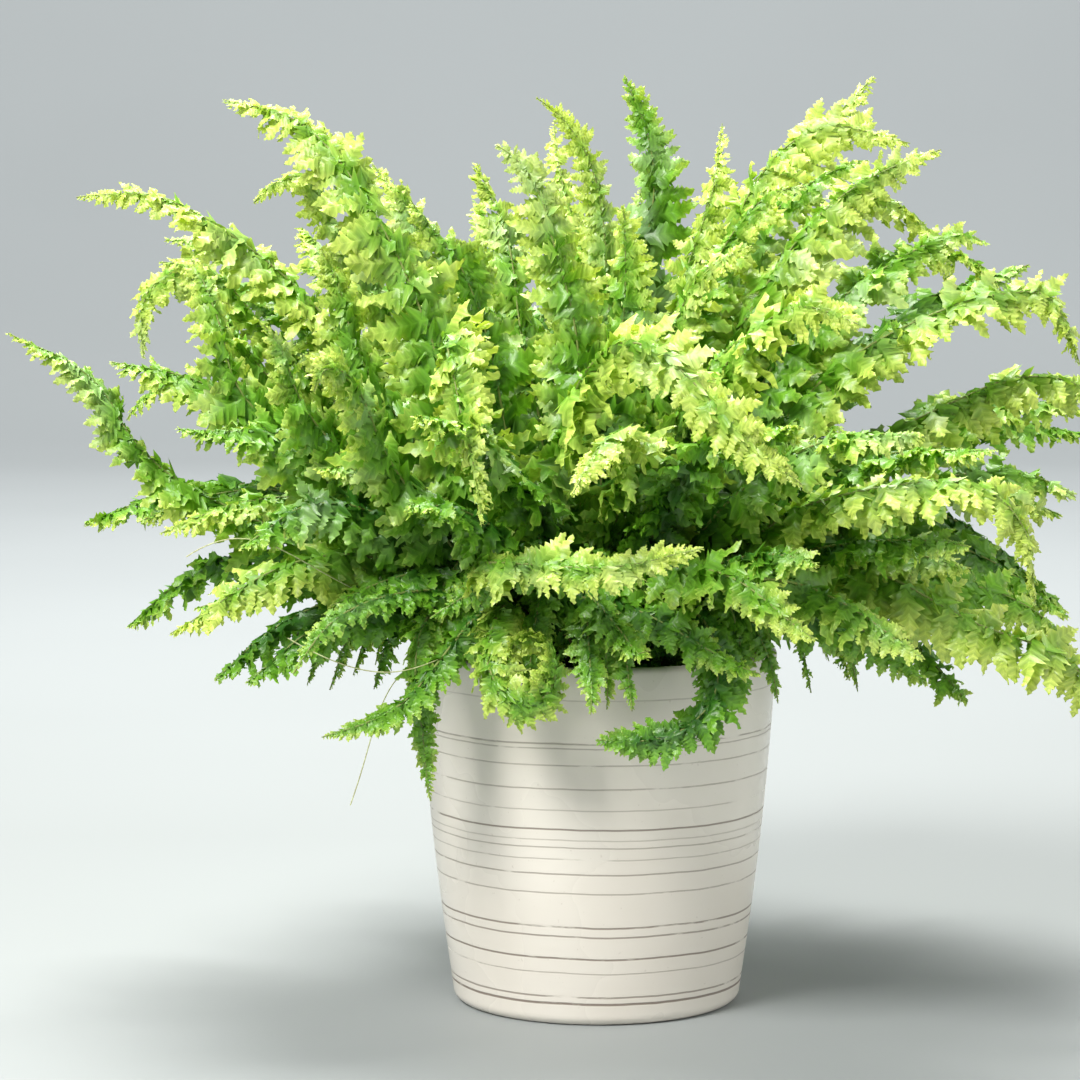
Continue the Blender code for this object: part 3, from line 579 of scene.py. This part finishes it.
def leaflet_shapes(blade, forms, age, settings, chance):
    """The leaflets along one blade: a shape for the large ones and one for the small ones."""
    point, out, width, top, length, share, sign = leaflets(blade, settings, chance)
    shapes = []
    for form, chosen in zip(forms, (length >= SMALL_LEAFLET, length < SMALL_LEAFLET)):
        if not chosen.any():
            continue
        kind = chance.integers(0, LEAFLET_FORMS, chosen.sum())
        axes = np.stack([out[chosen], width[chosen], top[chosen]], axis=1)
        points = np.einsum("nvk,nkj->nvj", form.points[kind], axes)
        points = points * length[chosen][:, None, None] + point[chosen][:, None]
        many, size = points.shape[:2]
        tone = leaflet_tone(point[chosen], share[chosen], age, chance)
        look = np.empty((many, size, 3))
        look[..., 0] = tone[:, None] + 0.55 * (form.look[None, :, 0] - 0.38)
        look[..., 1:] = form.look[None, :, 1:]
        faces = form.faces[None] + (np.arange(many) * size)[:, None, None]
        mirrored = sign[chosen] < 0
        faces[mirrored] = faces[mirrored][:, :, ::-1]
        cells = np.broadcast_to(form.flat, (many, size, 2))
        shapes.append(Shape(points.reshape(-1, 3), faces.reshape(-1, 4), look.reshape(-1, 3), cells))
    return shapes


def leaflet_tone(point, share, age, chance):
    """How light a leaflet is, from 0 to 1: darker on old fronds, lighter towards the frond's tip with new
    growth, and painted darker well inside the mound as the shade that falls there.
    """
    outside = np.linalg.norm((point - MOUND_MIDDLE) / MOUND_REACH, axis=1)
    tone = 0.86 - 0.62 * age
    tone = tone + 0.30 * np.clip((share - 0.62) / 0.38, 0, 1) ** 1.5
    # Painted shade: a leaflet well inside the mound is darkened, as the shade that falls in its hollows
    tone = tone - 0.65 * np.clip(0.82 - outside, 0, 1)
    return np.clip(tone + chance.normal(0, 0.045, len(point)), 0.0, 1.0)


def ring_faces(rings, sides):
    """The faces between rings of points, each with this many points."""
    faces = []
    for start in range(0, (rings - 1) * sides, sides):
        for i in range(sides):
            a, b = start + i, start + (i + 1) % sides
            faces.append((a, b, b + sides, a + sides))
    return np.array(faces)


def rib_shape(blade, settings):
    """The rib as a tube that thins towards the tip."""
    sides, step, fewest = 6, 0.006, 12
    run = np.linspace(0, blade.length, max(fewest, int(blade.length / step)))
    point, _, side, face = blade.at(run)
    share = run / blade.length
    radius = settings.rib_width / 2 * (1 - 0.78 * share**0.8)
    angle = 2 * math.pi * np.arange(sides) / sides
    ring = side[:, None] * np.cos(angle)[None, :, None] + face[:, None] * np.sin(angle)[None, :, None]
    points = point[:, None] + ring * radius[:, None, None]
    faces = ring_faces(len(run), sides)
    look = np.zeros((len(run), sides, 3))
    look[..., 0] = share[:, None]
    cells = np.zeros((1, len(run) * sides, 2))
    cells[0, :, 0] = np.repeat(share, sides)
    cells[0, :, 1] = np.tile(np.arange(sides) / (sides - 1), len(run))
    return Shape(points.reshape(-1, 3), faces, look.reshape(-1, 3), cells)


def clear_of_pot(points, pot):
    """Moves points that lie in the pot's wall just outside it, or just inside."""
    radius = np.hypot(points[:, 0], points[:, 1])
    low = points[:, 2] < pot.height + 0.001
    outer = pot.radius(points[:, 2]) + WALL_ROOM
    inner = outer - pot.wall - 2 * WALL_ROOM
    goal = np.where(radius > (outer + inner) / 2, outer, inner)
    caught = low & (radius < outer) & (radius > inner)
    points[:, :2] *= np.where(caught, goal / np.maximum(radius, 1e-6), 1)[:, None]
    points[:, 2] = np.maximum(points[:, 2], LOWEST)


class PotSize:
    """The pot's measures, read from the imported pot, with its wall and how far its side swells."""

    def __init__(self):
        self.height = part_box("pot")[1].z
        points = np.array([v.co[:] for v in frame["nodes"]["pot"].data.vertices])
        radius = np.hypot(points[:, 0], points[:, 1])
        self.rim = radius[points[:, 2] > self.height - 0.01].max()
        self.foot = radius[points[:, 2] < 0.012].max()
        self.belly = 0.002
        self.wall = 0.006

    def radius(self, height):
        """The outer radius at some height."""
        up = np.clip(height / self.height, 0, 1)
        return self.foot + (self.rim - self.foot) * up + self.belly * np.sin(math.pi * up)


def make_piece(name, shapes, material, nodes):
    """One visible mesh made of many shapes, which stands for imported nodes."""
    sizes = np.cumsum([0] + [len(shape.points) for shape in shapes])
    points = np.concatenate([shape.points for shape in shapes])
    faces = np.concatenate([shape.faces + start for shape, start in zip(shapes, sizes)])
    look = np.concatenate([shape.look for shape in shapes])
    mesh = bpy.data.meshes.new(name)
    mesh.vertices.add(len(points))
    mesh.vertices.foreach_set("co", points.ravel())
    mesh.loops.add(faces.size)
    mesh.loops.foreach_set("vertex_index", faces.ravel())
    mesh.polygons.add(len(faces))
    mesh.polygons.foreach_set("loop_start", np.arange(len(faces)) * 4)
    mesh.polygons.foreach_set("loop_total", np.full(len(faces), 4))
    mesh.polygons.foreach_set("use_smooth", np.ones(len(faces), bool))
    mesh.update(calc_edges=True)
    attribute = mesh.attributes.new("look", "FLOAT_VECTOR", "POINT")
    attribute.data.foreach_set("vector", look.ravel())
    flat_map(mesh, [shape.cells for shape in shapes], faces)
    mesh.validate()
    mesh.materials.append(material)
    piece = bpy.data.objects.new(name, mesh)
    bpy.context.scene.collection.objects.link(piece)
    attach(piece, "root")
    if nodes:
        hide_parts(*nodes)
    return piece


def flat_map(mesh, cells, faces):
    """A map in which each leaflet has a square of its own."""
    count = sum(len(cell) for cell in cells)
    side = math.ceil(math.sqrt(count))
    flat, number = [], 0
    for cell in cells:
        order = number + np.arange(len(cell))
        corner = np.column_stack([order % side, order // side])[:, None]
        flat.append(((corner + 0.06 + 0.88 * cell) / side).reshape(-1, 2))
        number += len(cell)
    flat = np.concatenate(flat)
    layer = mesh.uv_layers.new(name="OFBake")
    layer.data.foreach_set("uv", flat[faces.ravel()].ravel())


class Nodes:
    """A short way to write a material's nodes."""

    def __init__(self, name):
        self.material = bpy.data.materials.new(name)
        self.material.use_nodes = True
        self.tree = self.material.node_tree
        self.tree.nodes.clear()

    def new(self, kind, inputs=(), **settings):
        node = self.tree.nodes.new(kind)
        for key, value in settings.items():
            setattr(node, key, value)
        for key, value in dict(inputs).items():
            if isinstance(value, bpy.types.NodeSocket):
                self.tree.links.new(value, node.inputs[key])
            else:
                node.inputs[key].default_value = value
        return node

    def maths(self, operation, first, second=0.0):
        return self.new("ShaderNodeMath", {0: first, 1: second}, operation=operation).outputs[0]

    def mix(self, factor, first, second, blend="MIX"):
        """A mix of two colours, which are sockets 6 and 7 of the node and come out of its third."""
        made = self.new(
            "ShaderNodeMix",
            {0: factor, 6: first, 7: second},
            data_type="RGBA",
            blend_type=blend,
        )
        return made.outputs[2]

    def ramp(self, value, low, high, start=0.0, end=1.0):
        made = self.new(
            "ShaderNodeMapRange",
            {"Value": value, "From Min": low, "From Max": high, "To Min": start, "To Max": end},
            interpolation_type="SMOOTHSTEP",
        )
        return made.outputs["Result"]

    def noise(self, vector, scale, detail=3.0, roughness=0.5):
        made = self.new(
            "ShaderNodeTexNoise",
            {"Vector": vector, "Scale": scale, "Detail": detail, "Roughness": roughness},
        )
        return made.outputs["Fac"]

    def place(self):
        return self.new("ShaderNodeTexCoord").outputs["Object"]

    def parts(self, vector):
        return self.new("ShaderNodeSeparateXYZ", {"Vector": vector}).outputs

    def look(self):
        """The three values that a shape's look holds."""
        return self.parts(self.new("ShaderNodeAttribute", attribute_name="look").outputs["Vector"])

    def stretched(self, scale):
        """Places with each axis scaled by itself."""
        return self.new("ShaderNodeMapping", {"Vector": self.place(), "Scale": scale}).outputs[0]

    def skin(self, base, rough, height=None, strength=1.0, depth=0.0, shine=0.5):
        """An opaque surface, with a bump where a height is given."""
        inputs = {"Base Color": base, "Roughness": rough, "Specular IOR Level": shine}
        if height is not None:
            relief = {"Height": height, "Strength": strength, "Distance": depth}
            inputs["Normal"] = self.new("ShaderNodeBump", relief).outputs["Normal"]
        return self.new("ShaderNodeBsdfPrincipled", inputs).outputs[0]

    def output(self, surface):
        self.new("ShaderNodeOutputMaterial", {"Surface": surface})
        return self.material


def colour(value):
    """The colour with full opacity."""
    return (*value, 1.0)


def leaf_material(settings):
    """Leaflets: new growth to old leaves by their tone, which also holds painted shade well inside the
    mound, with a midrib, veins, painted shade in the creases between lobes, a painted sheen of the sky and
    light through.
    """
    crease_shade_tint = (0.55, 0.68, 0.45, 1.0)
    on_veins = (1.35, 1.28, 1.6, 1.0)
    light_through = (1.25, 1.15, 0.55, 1.0)
    painted_sheen_colour = (0.58, 0.74, 0.44, 1.0)
    n = Nodes("fern_leaflet")
    tone, across, pleat = n.look()
    patch = n.noise(n.place(), 90.0, 2.0)
    tone = n.maths("ADD", tone, n.maths("MULTIPLY", n.maths("SUBTRACT", patch, 0.5), 0.35))
    off = n.maths("ABSOLUTE", across)
    tone = n.maths("ADD", tone, n.ramp(off, 0.55, 1.0, 0.0, 0.16))
    young = n.mix(n.ramp(tone, 0.05, 0.52), colour(settings.old_colour), colour(settings.leaf_colour))
    base = n.mix(n.ramp(tone, 0.48, 1.08), young, colour(settings.tip_colour))
    fold = n.maths("COSINE", n.maths("MULTIPLY", pleat, 2 * math.pi))
    # Painted shade: the colour is darkened in the creases at the notches between the lobes
    crease_shade = n.ramp(fold, 0.2, 1.0, 0.0, 0.45)
    base = n.mix(crease_shade, base, n.mix(1.0, base, crease_shade_tint, "MULTIPLY"))
    vein = n.ramp(fold, -0.55, -1.0, 0.0, 0.55)
    line = n.maths("MAXIMUM", vein, n.ramp(off, 0.13, 0.02, 0.0, 0.5))
    base = n.mix(line, base, n.mix(1.0, base, on_veins, "MULTIPLY"))
    # A painted sheen of the sky: a pale colour mixed into the leaflets' colour in patches, stronger on the
    # upper fronds
    sheen = n.ramp(n.noise(n.place(), 24.0, 3.0), 0.50, 0.68, 0.0, 0.34)
    height = n.parts(n.place())["Z"]
    sheen = n.maths("MULTIPLY", sheen, n.ramp(height, 0.17, 0.26, 0.15, 1.0))
    base = n.mix(sheen, base, painted_sheen_colour)
    relief = n.maths("ADD", n.maths("MULTIPLY", line, -0.6), n.noise(n.place(), 700.0, 2.0))
    skin = n.skin(base, 0.38, relief, 0.25, 0.0006, shine=0.65)
    through = n.mix(1.0, base, light_through, "MULTIPLY")
    glow = n.new("ShaderNodeBsdfTranslucent", {"Color": through}).outputs[0]
    return n.output(n.new("ShaderNodeMixShader", {0: 0.24, 1: skin, 2: glow}).outputs[0])


def rib_material(settings):
    """Ribs: brown at the soil, green along the frond, with fine scales."""
    scales = (0.30, 0.20, 0.09, 1.0)
    n = Nodes("fern_rib")
    share = n.look()[0]
    speck = n.noise(n.place(), 900.0, 3.0)
    fresh = n.mix(n.ramp(share, 0.15, 0.45), colour(settings.stem_colour), colour(settings.rib_colour))
    base = n.mix(n.ramp(speck, 0.52, 0.70, 0.0, 0.6), fresh, scales)
    return n.output(n.skin(base, 0.6, speck, 0.4, 0.0004))


# Heights over the foot, half thicknesses and strengths of the pot's turned lines
POT_LINES = (
    (0.1530, 0.00030, 0.35),
    (0.1330, 0.00035, 0.70),
    (0.1308, 0.00030, 0.55),
    (0.1230, 0.00030, 0.55),
    (0.1120, 0.00032, 0.60),
    (0.1020, 0.00028, 0.45),
    (0.0930, 0.00040, 0.90),
    (0.0880, 0.00028, 0.40),
    (0.0845, 0.00030, 0.60),
    (0.0790, 0.00028, 0.45),
    (0.0720, 0.00034, 0.70),
    (0.0630, 0.00032, 0.60),
    (0.0470, 0.00042, 0.90),
    (0.0425, 0.00038, 0.80),
    (0.0320, 0.00042, 0.95),
    (0.0250, 0.00030, 0.50),
    (0.0136, 0.00040, 0.80),
    (0.0103, 0.00055, 1.00),
)


def glaze_material(settings):
    """Cream glaze with turned lines that wobble and break."""
    cloudy, fleck = (0.79, 0.73, 0.64, 1.0), (0.45, 0.38, 0.30, 1.0)
    n = Nodes("cream_glaze")
    sway = n.noise(n.stretched((1.0, 1.0, 0.35)), 22.0, 3.0)
    wobble = n.maths("MULTIPLY", n.maths("SUBTRACT", sway, 0.5), settings.line_wobble * 4)
    height = n.maths("ADD", n.parts(n.place())["Z"], wobble)
    broken = n.ramp(n.noise(n.stretched((1.0, 1.0, 5.0)), 34.0, 4.0, 0.65), 0.32, 0.46)
    lines = None
    for level, half, strength in POT_LINES:
        off = n.maths("ABSOLUTE", n.maths("SUBTRACT", height, level))
        line = n.ramp(off, half * 1.5, half * 0.6, 0.0, strength)
        lines = line if lines is None else n.maths("MAXIMUM", lines, line)
    lines = n.maths("MULTIPLY", lines, broken)
    cloud = n.noise(n.place(), 14.0, 3.0)
    glaze = n.mix(n.ramp(cloud, 0.3, 0.7, 0.0, 0.5), colour(settings.glaze_colour), cloudy)
    glaze = n.mix(n.ramp(n.noise(n.place(), 520.0, 2.0), 0.70, 0.78, 0.0, 0.25), glaze, fleck)
    base = n.mix(lines, glaze, colour(settings.clay_colour))
    ridges = n.noise(n.stretched((2.0, 2.0, 160.0)), 1.0, 2.0)
    relief = n.maths("SUBTRACT", n.maths("MULTIPLY", ridges, 0.35), lines)
    rough = n.maths("ADD", n.ramp(cloud, 0.3, 0.7, 0.22, 0.34), n.maths("MULTIPLY", lines, 0.35))
    return n.output(n.skin(base, rough, relief, 0.35, 0.0006))


def soil_material(settings):
    """Dark potting soil with pale crumbs and damp patches."""
    crumb, damp = (0.12, 0.075, 0.045, 1.0), (0.02, 0.013, 0.009, 1.0)
    n = Nodes("potting_soil")
    grain = n.noise(n.place(), 420.0, 6.0, 0.7)
    base = n.mix(n.ramp(grain, 0.35, 0.75), colour(settings.soil_colour), crumb)
    base = n.mix(n.ramp(n.noise(n.place(), 30.0, 2.0), 0.4, 0.7, 0.0, 0.6), base, damp)
    return n.output(n.skin(base, 0.92, grain, 0.8, 0.002))


class Grower:
    """Grows pieces along blades, with the forms, materials and random draws that all share."""

    def __init__(self, settings):
        self.settings = settings
        self.chance = np.random.default_rng(settings.seed)
        self.forms = [LeafletForms(grid, settings) for grid in (FINE_GRID, COARSE_GRID)]
        self.leaf, self.rib = leaf_material(settings), rib_material(settings)
        self.pot = PotSize()

    def aged(self, blades, slot):
        """The blades, each with an age that suits the slot."""
        return [(b, SLOT_AGES[slot] + self.chance.uniform(-AGE_SPREAD, AGE_SPREAD)) for b in blades]

    def grow(self, name, aged_blades, nodes=()):
        """One piece of leaflets and one of ribs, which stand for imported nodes."""
        leaves, stems = [], []
        for blade, age in aged_blades:
            blade.sway(self.chance)
            leaves += leaflet_shapes(blade, self.forms, age, self.settings, self.chance)
            stems.append(rib_shape(blade, self.settings))
        if not leaves:
            raise RuntimeError(f"nothing was grown for {name}")
        for shape in leaves + stems:
            clear_of_pot(shape.points, self.pot)
        make_piece(name, leaves, self.leaf, nodes)
        make_piece(name + "_ribs", stems, self.rib, nodes)


class FERN_OT_grow_fronds(Operator):
    """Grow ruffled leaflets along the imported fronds, young ones between them and short ones at the rim"""

    bl_idname = "fern.grow_fronds"
    bl_label = "Grow fronds"

    def execute(self, context):
        grower = Grower(context.scene.fern_fronds)
        slots = {part["node"]: part["material_slot"] for part in frame["record"]["subparts"]}
        packed = packed_blades(sorted(node for node in slots if node.startswith("frond")))
        young = young_blades([blade for blades in packed.values() for blade in blades])
        for name, numbers in FROND_PIECES.items():
            nodes = [f"frond_{number:02d}" for number in numbers]
            aged = [pair for node in nodes for pair in grower.aged(packed[node], slots[node])]
            slot = collections.Counter(slots[node] for node in nodes).most_common(1)[0][0]
            grower.grow(name, aged, nodes)
        young = grower.aged(young, "green_frond")
        rim = grower.aged(rim_blades(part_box("soil")[1].z, grower.chance), "green_frond")
        left = [(blade, age) for blade, age in young if blade.line[-1][0] < 0]
        right = [(blade, age) for blade, age in young if blade.line[-1][0] >= 0]
        grower.grow("young_fronds_left", left)
        grower.grow("young_fronds_right", right)
        grower.grow("rim_fronds", rim)
        return {"FINISHED"}


def turned_mesh(name, profile, sides, material):
    """A solid of revolution about Z from its profile of radius and height."""
    mesh = bpy.data.meshes.new(name)
    edges = [(i, i + 1) for i in range(len(profile) - 1)]
    mesh.from_pydata([(r, 0.0, z) for r, z in profile], edges, [])
    mesh.materials.append(material)
    made = bpy.data.objects.new(name, mesh)
    bpy.context.scene.collection.objects.link(made)
    screw = made.modifiers.new("turn", "SCREW")
    screw.steps = screw.render_steps = sides
    screw.use_merge_vertices = True
    screw.merge_threshold = 1e-5
    screw.use_smooth_shade = True
    return made


def arc(radius, height, bend, start, end, steps):
    """Points along an arc about a radius and a height, between two angles in degrees."""
    turns = [math.radians(start + (end - start) * i / steps) for i in range(steps + 1)]
    return [(radius + bend * math.cos(turn), height + bend * math.sin(turn)) for turn in turns]


def pot_profile(pot):
    """The pot from the middle of its floor, up inside, over the lip and down to its foot."""
    floor, corner, level = 0.010, 0.006, 0.016
    lip, rounding = pot.wall / 2, 0.005
    inside = pot.radius(level) - pot.wall - corner
    profile = [(0.0, floor), (0.052, floor), *arc(inside, level, corner, -90, 0, 6)[1:]]
    for z in np.linspace(0.03, pot.height - 0.008, 14):
        profile.append((float(pot.radius(z)) - pot.wall, float(z)))
    profile += arc(pot.rim - lip, pot.height - lip, lip, 180, 0, 10)
    for z in np.linspace(pot.height - 0.010, 0.012, 40):
        profile.append((float(pot.radius(z)), float(z)))
    edge = float(pot.radius(rounding)) - rounding
    return [*profile, *arc(edge, rounding, rounding, 0, -90, 6), (0.0, 0.0)]


class FERN_OT_turn_pot(Operator):
    """Turn the glazed pot with its lines"""

    bl_idname = "fern.turn_pot"
    bl_label = "Turn pot"

    def execute(self, context):
        settings = context.scene.fern_pot
        piece = turned_mesh(
            "glazed_pot", pot_profile(PotSize()), settings.sides, glaze_material(settings)
        )
        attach(piece, "root")
        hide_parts("pot")
        return {"FINISHED"}


def soil_shape(chance):
    """The soil's uneven top."""
    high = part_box("soil")[1]
    radius = high.x
    rows, columns = 40, 96
    lump_height, lump_waves, roughness = 0.0011, 549, 0.0006
    points = []
    for row in range(rows + 1):
        away = radius * row / rows
        dome = high.z - SOIL_DROP * (row / rows) ** 2
        fade = 1 - (row / rows) ** 8
        for column in range(columns):
            angle = 2 * math.pi * column / columns
            x, y = away * math.cos(angle), away * math.sin(angle)
            lump = lump_height * math.sin(lump_waves * x + 3 * math.sin(angle * 5))
            lump += chance.uniform(-roughness, roughness)
            points.append((x, y, dome + lump * fade))
    points = np.array(points)
    facing_up = ring_faces(rows + 1, columns)[:, [0, 3, 2, 1]]
    flat = points[:, :2] / radius / 2 + 0.5
    return Shape(points, facing_up, np.zeros_like(points), flat[None])


def crumb_shape(settings, radius, height, chance):
    """Small lumps that lie on the soil."""
    box = np.array([(x, y, z) for x in (-1, 1) for y in (-1, 1) for z in (-1, 1)], float)
    sides = [(0, 1, 3, 2), (4, 6, 7, 5), (0, 4, 5, 1), (2, 3, 7, 6), (0, 2, 6, 4), (1, 5, 7, 3)]
    points, faces = [], []
    for number in range(settings.crumbs):
        away, angle = radius * math.sqrt(chance.uniform(0, 0.94)), chance.uniform(0, 2 * math.pi)
        size = chance.uniform(0.0006, 0.0019)
        lump = box * size * chance.uniform(0.6, 1.2, 3) * chance.uniform(0.7, 1.0, (8, 1))
        turn = chance.uniform(0, 2 * math.pi)
        c, s = math.cos(turn), math.sin(turn)
        lump = lump @ np.array(((c, s, 0.2), (-s, c, 0.1), (0.1, -0.2, 1)))
        dome = height - SOIL_DROP * (away / radius) ** 2
        points.append(lump + (away * math.cos(angle), away * math.sin(angle), dome + size * 0.4))
        faces.append(np.array(sides) + 8 * number)
    points = np.concatenate(points)
    cells = np.full((settings.crumbs, 8, 2), 0.5) + 0.4 * box[None, :, :2]
    return Shape(points, np.concatenate(faces), np.zeros_like(points), cells)


class FERN_OT_fill_soil(Operator):
    """Lay the uneven soil and its crumbs in the pot"""

    bl_idname = "fern.fill_soil"
    bl_label = "Fill soil"

    def execute(self, context):
        settings = context.scene.fern_pot
        chance = np.random.default_rng(settings.seed)
        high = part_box("soil")[1]
        shapes = [soil_shape(chance), crumb_shape(settings, high.x, high.z, chance)]
        make_piece("soil_bed", shapes, soil_material(settings), ["soil"])
        return {"FINISHED"}


# Thin pale runners: half their thickness, and the points that they pass
RUNNER_RADIUS = 0.00026
RUNNERS = {
    "runner_left": ((-0.030, -0.010, 0.158), (-0.080, -0.050, 0.185), (-0.130, -0.090, 0.212),
                    (-0.158, -0.118, 0.238), (-0.182, -0.122, 0.222)),
    "runner_low": ((-0.030, -0.030, 0.158), (-0.055, -0.080, 0.180), (-0.075, -0.110, 0.172),
                   (-0.105, -0.118, 0.166), (-0.138, -0.120, 0.186)),
    "runner_hanging": ((-0.045, -0.030, 0.158), (-0.080, -0.070, 0.176), (-0.100, -0.092, 0.160),
                       (-0.104, -0.096, 0.130), (-0.112, -0.098, 0.108)),
}


def runner_material():
    """Pale green runners with a duller green in specks."""
    pale, dull = (0.62, 0.66, 0.34, 1.0), (0.46, 0.46, 0.22, 1.0)
    n = Nodes("fern_runner")
    base = n.mix(n.ramp(n.noise(n.place(), 500.0, 2.0), 0.4, 0.6), pale, dull)
    return n.output(n.skin(base, 0.6))


class FERN_OT_trail_runners(Operator):
    """Trail the thin runners out of the fronds"""

    bl_idname = "fern.trail_runners"
    bl_label = "Trail runners"

    def execute(self, context):
        material = runner_material()
        for name, route in RUNNERS.items():
            curve = bpy.data.curves.new(name, "CURVE")
            curve.dimensions = "3D"
            curve.bevel_depth = RUNNER_RADIUS
            curve.bevel_resolution = 2
            curve.use_fill_caps = True
            spline = curve.splines.new("NURBS")
            spline.points.add(len(route) - 1)
            for point, place in zip(spline.points, route):
                point.co = (*place, 1.0)
            spline.use_endpoint_u = True
            spline.order_u = 4
            curve.materials.append(material)
            piece = bpy.data.objects.new(name, curve)
            context.scene.collection.objects.link(piece)
            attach(piece, "root")
        return {"FINISHED"}


def floor_material(settings):
    """A plain floor with hardly visible clouds."""
    n = Nodes("floor")
    darker = colour([c * 0.97 for c in settings.floor_colour])
    cloud = n.ramp(n.noise(n.place(), 1.3, 2.0), 0.3, 0.7)
    return n.output(n.skin(n.mix(cloud, colour(settings.floor_colour), darker), 0.55))


# The lamps: width and height, place, the point that each is aimed at, and tint
PLANT_MIDDLE = (0.0, 0.0, 0.24)
LAMPS = {
    "key": ((1.1, 1.1), (-1.2, -1.6, 2.1), PLANT_MIDDLE, (1.0, 0.985, 0.95)),
    "top": ((1.1, 1.1), (-0.2, 0.5, 2.2), PLANT_MIDDLE, (1.0, 0.99, 0.94)),
    "fill": ((1.6, 1.6), (2.2, -1.6, 0.9), PLANT_MIDDLE, (1.0, 0.98, 0.95)),
    "edge": ((0.10, 1.3), (1.5, 0.62, 0.45), (0.0, 0.0, 0.12), (1.0, 0.99, 0.96)),
    "far": ((3.0, 3.0), (0.0, 1.6, 3.2), (0.0, 6.0, 1.6), (1.0, 1.0, 1.0)),
}
SKY_TINT = (0.95, 0.98, 1.0, 1.0)

# The photo's camera: its place, how many degrees it looks down, and its sensor and lens in
# millimetres
CAMERA_PLACE = (-0.027, -1.617, 0.361)
CAMERA_TILT = 5.03
CAMERA_SENSOR = 36.0
CAMERA_LENS = 114.2


def area_light(name, size, power, place, aim, tint):
    """A soft lamp aimed at a point: a disk, or a strip where its width and height differ."""
    light = bpy.data.lights.new(name, "AREA")
    light.shape = "DISK" if size[0] == size[1] else "RECTANGLE"
    light.size, light.size_y = size
    light.energy = power
    light.color = tint
    lamp = bpy.data.objects.new(name, light)
    bpy.context.scene.collection.objects.link(lamp)
    lamp.location = place
    lamp.rotation_euler = (Vector(aim) - Vector(place)).to_track_quat("-Z", "Y").to_euler()


class FERN_OT_set_stage(Operator):
    """Set the floor, the lights and the camera"""

    bl_idname = "fern.set_stage"
    bl_label = "Set stage"

    def execute(self, context):
        settings = context.scene.fern_stage
        flat, rise = settings.floor_radius, 2.5
        profile = [(0.0, 0.0), (flat, 0.0), *arc(flat, rise, rise, -90, -10, 12)[1:]]
        floor = turned_mesh("floor", profile, 96, floor_material(settings))
        for name, (size, place, aim, tint) in LAMPS.items():
            area_light(name, size, getattr(settings, name + "_power"), place, aim, tint)
        world = bpy.data.worlds.new("studio")
        world.use_nodes = True
        sky = world.node_tree.nodes["Background"]
        sky.inputs["Color"].default_value = SKY_TINT
        sky.inputs["Strength"].default_value = settings.sky
        context.scene.world = world
        context.scene.view_settings.view_transform = "Standard"
        camera = bpy.data.cameras.new("camera")
        camera.sensor_width = CAMERA_SENSOR
        camera.lens = CAMERA_LENS
        seat = bpy.data.objects.new("camera", camera)
        context.scene.collection.objects.link(seat)
        seat.location = CAMERA_PLACE
        seat.rotation_euler = (math.radians(90 - CAMERA_TILT), 0.0, 0.0)
        context.scene.camera = seat
        return {"FINISHED"}


class FERN_PT_sidebar(Panel):
    """The fern's settings and its steps"""

    bl_label = "Boston fern"
    bl_idname = "FERN_PT_sidebar"
    bl_space_type = "VIEW_3D"
    bl_region_type = "UI"
    bl_category = "Fern"

    def draw(self, context):
        scene = context.scene
        for settings in (scene.fern_fronds, scene.fern_pot, scene.fern_stage):
            box = self.layout.box()
            for name in settings.__annotations__:
                box.prop(settings, name)
        for operator in OPERATORS:
            self.layout.operator(operator.bl_idname)


SETTINGS = {
    "fern_fronds": FernFrondSettings,
    "fern_pot": FernPotSettings,
    "fern_stage": FernStageSettings,
}
OPERATORS = (
    FERN_OT_set_stage,
    FERN_OT_turn_pot,
    FERN_OT_fill_soil,
    FERN_OT_grow_fronds,
    FERN_OT_trail_runners,
)


def register():
    """Adds the settings, the steps and the panel."""
    for name, group in SETTINGS.items():
        bpy.utils.register_class(group)
        setattr(bpy.types.Scene, name, PointerProperty(type=group))
    for operator in OPERATORS:
        bpy.utils.register_class(operator)
    bpy.utils.register_class(FERN_PT_sidebar)


def unregister():
    """Takes them away again."""
    bpy.utils.unregister_class(FERN_PT_sidebar)
    for operator in reversed(OPERATORS):
        bpy.utils.unregister_class(operator)
    for name, group in SETTINGS.items():
        delattr(bpy.types.Scene, name)
        bpy.utils.unregister_class(group)


def main():
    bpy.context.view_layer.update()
    register()
    bpy.ops.fern.set_stage()
    bpy.ops.fern.turn_pot()
    bpy.ops.fern.fill_soil()
    bpy.ops.fern.grow_fronds()
    bpy.ops.fern.trail_runners()


if __name__ == "__main__":
    main()
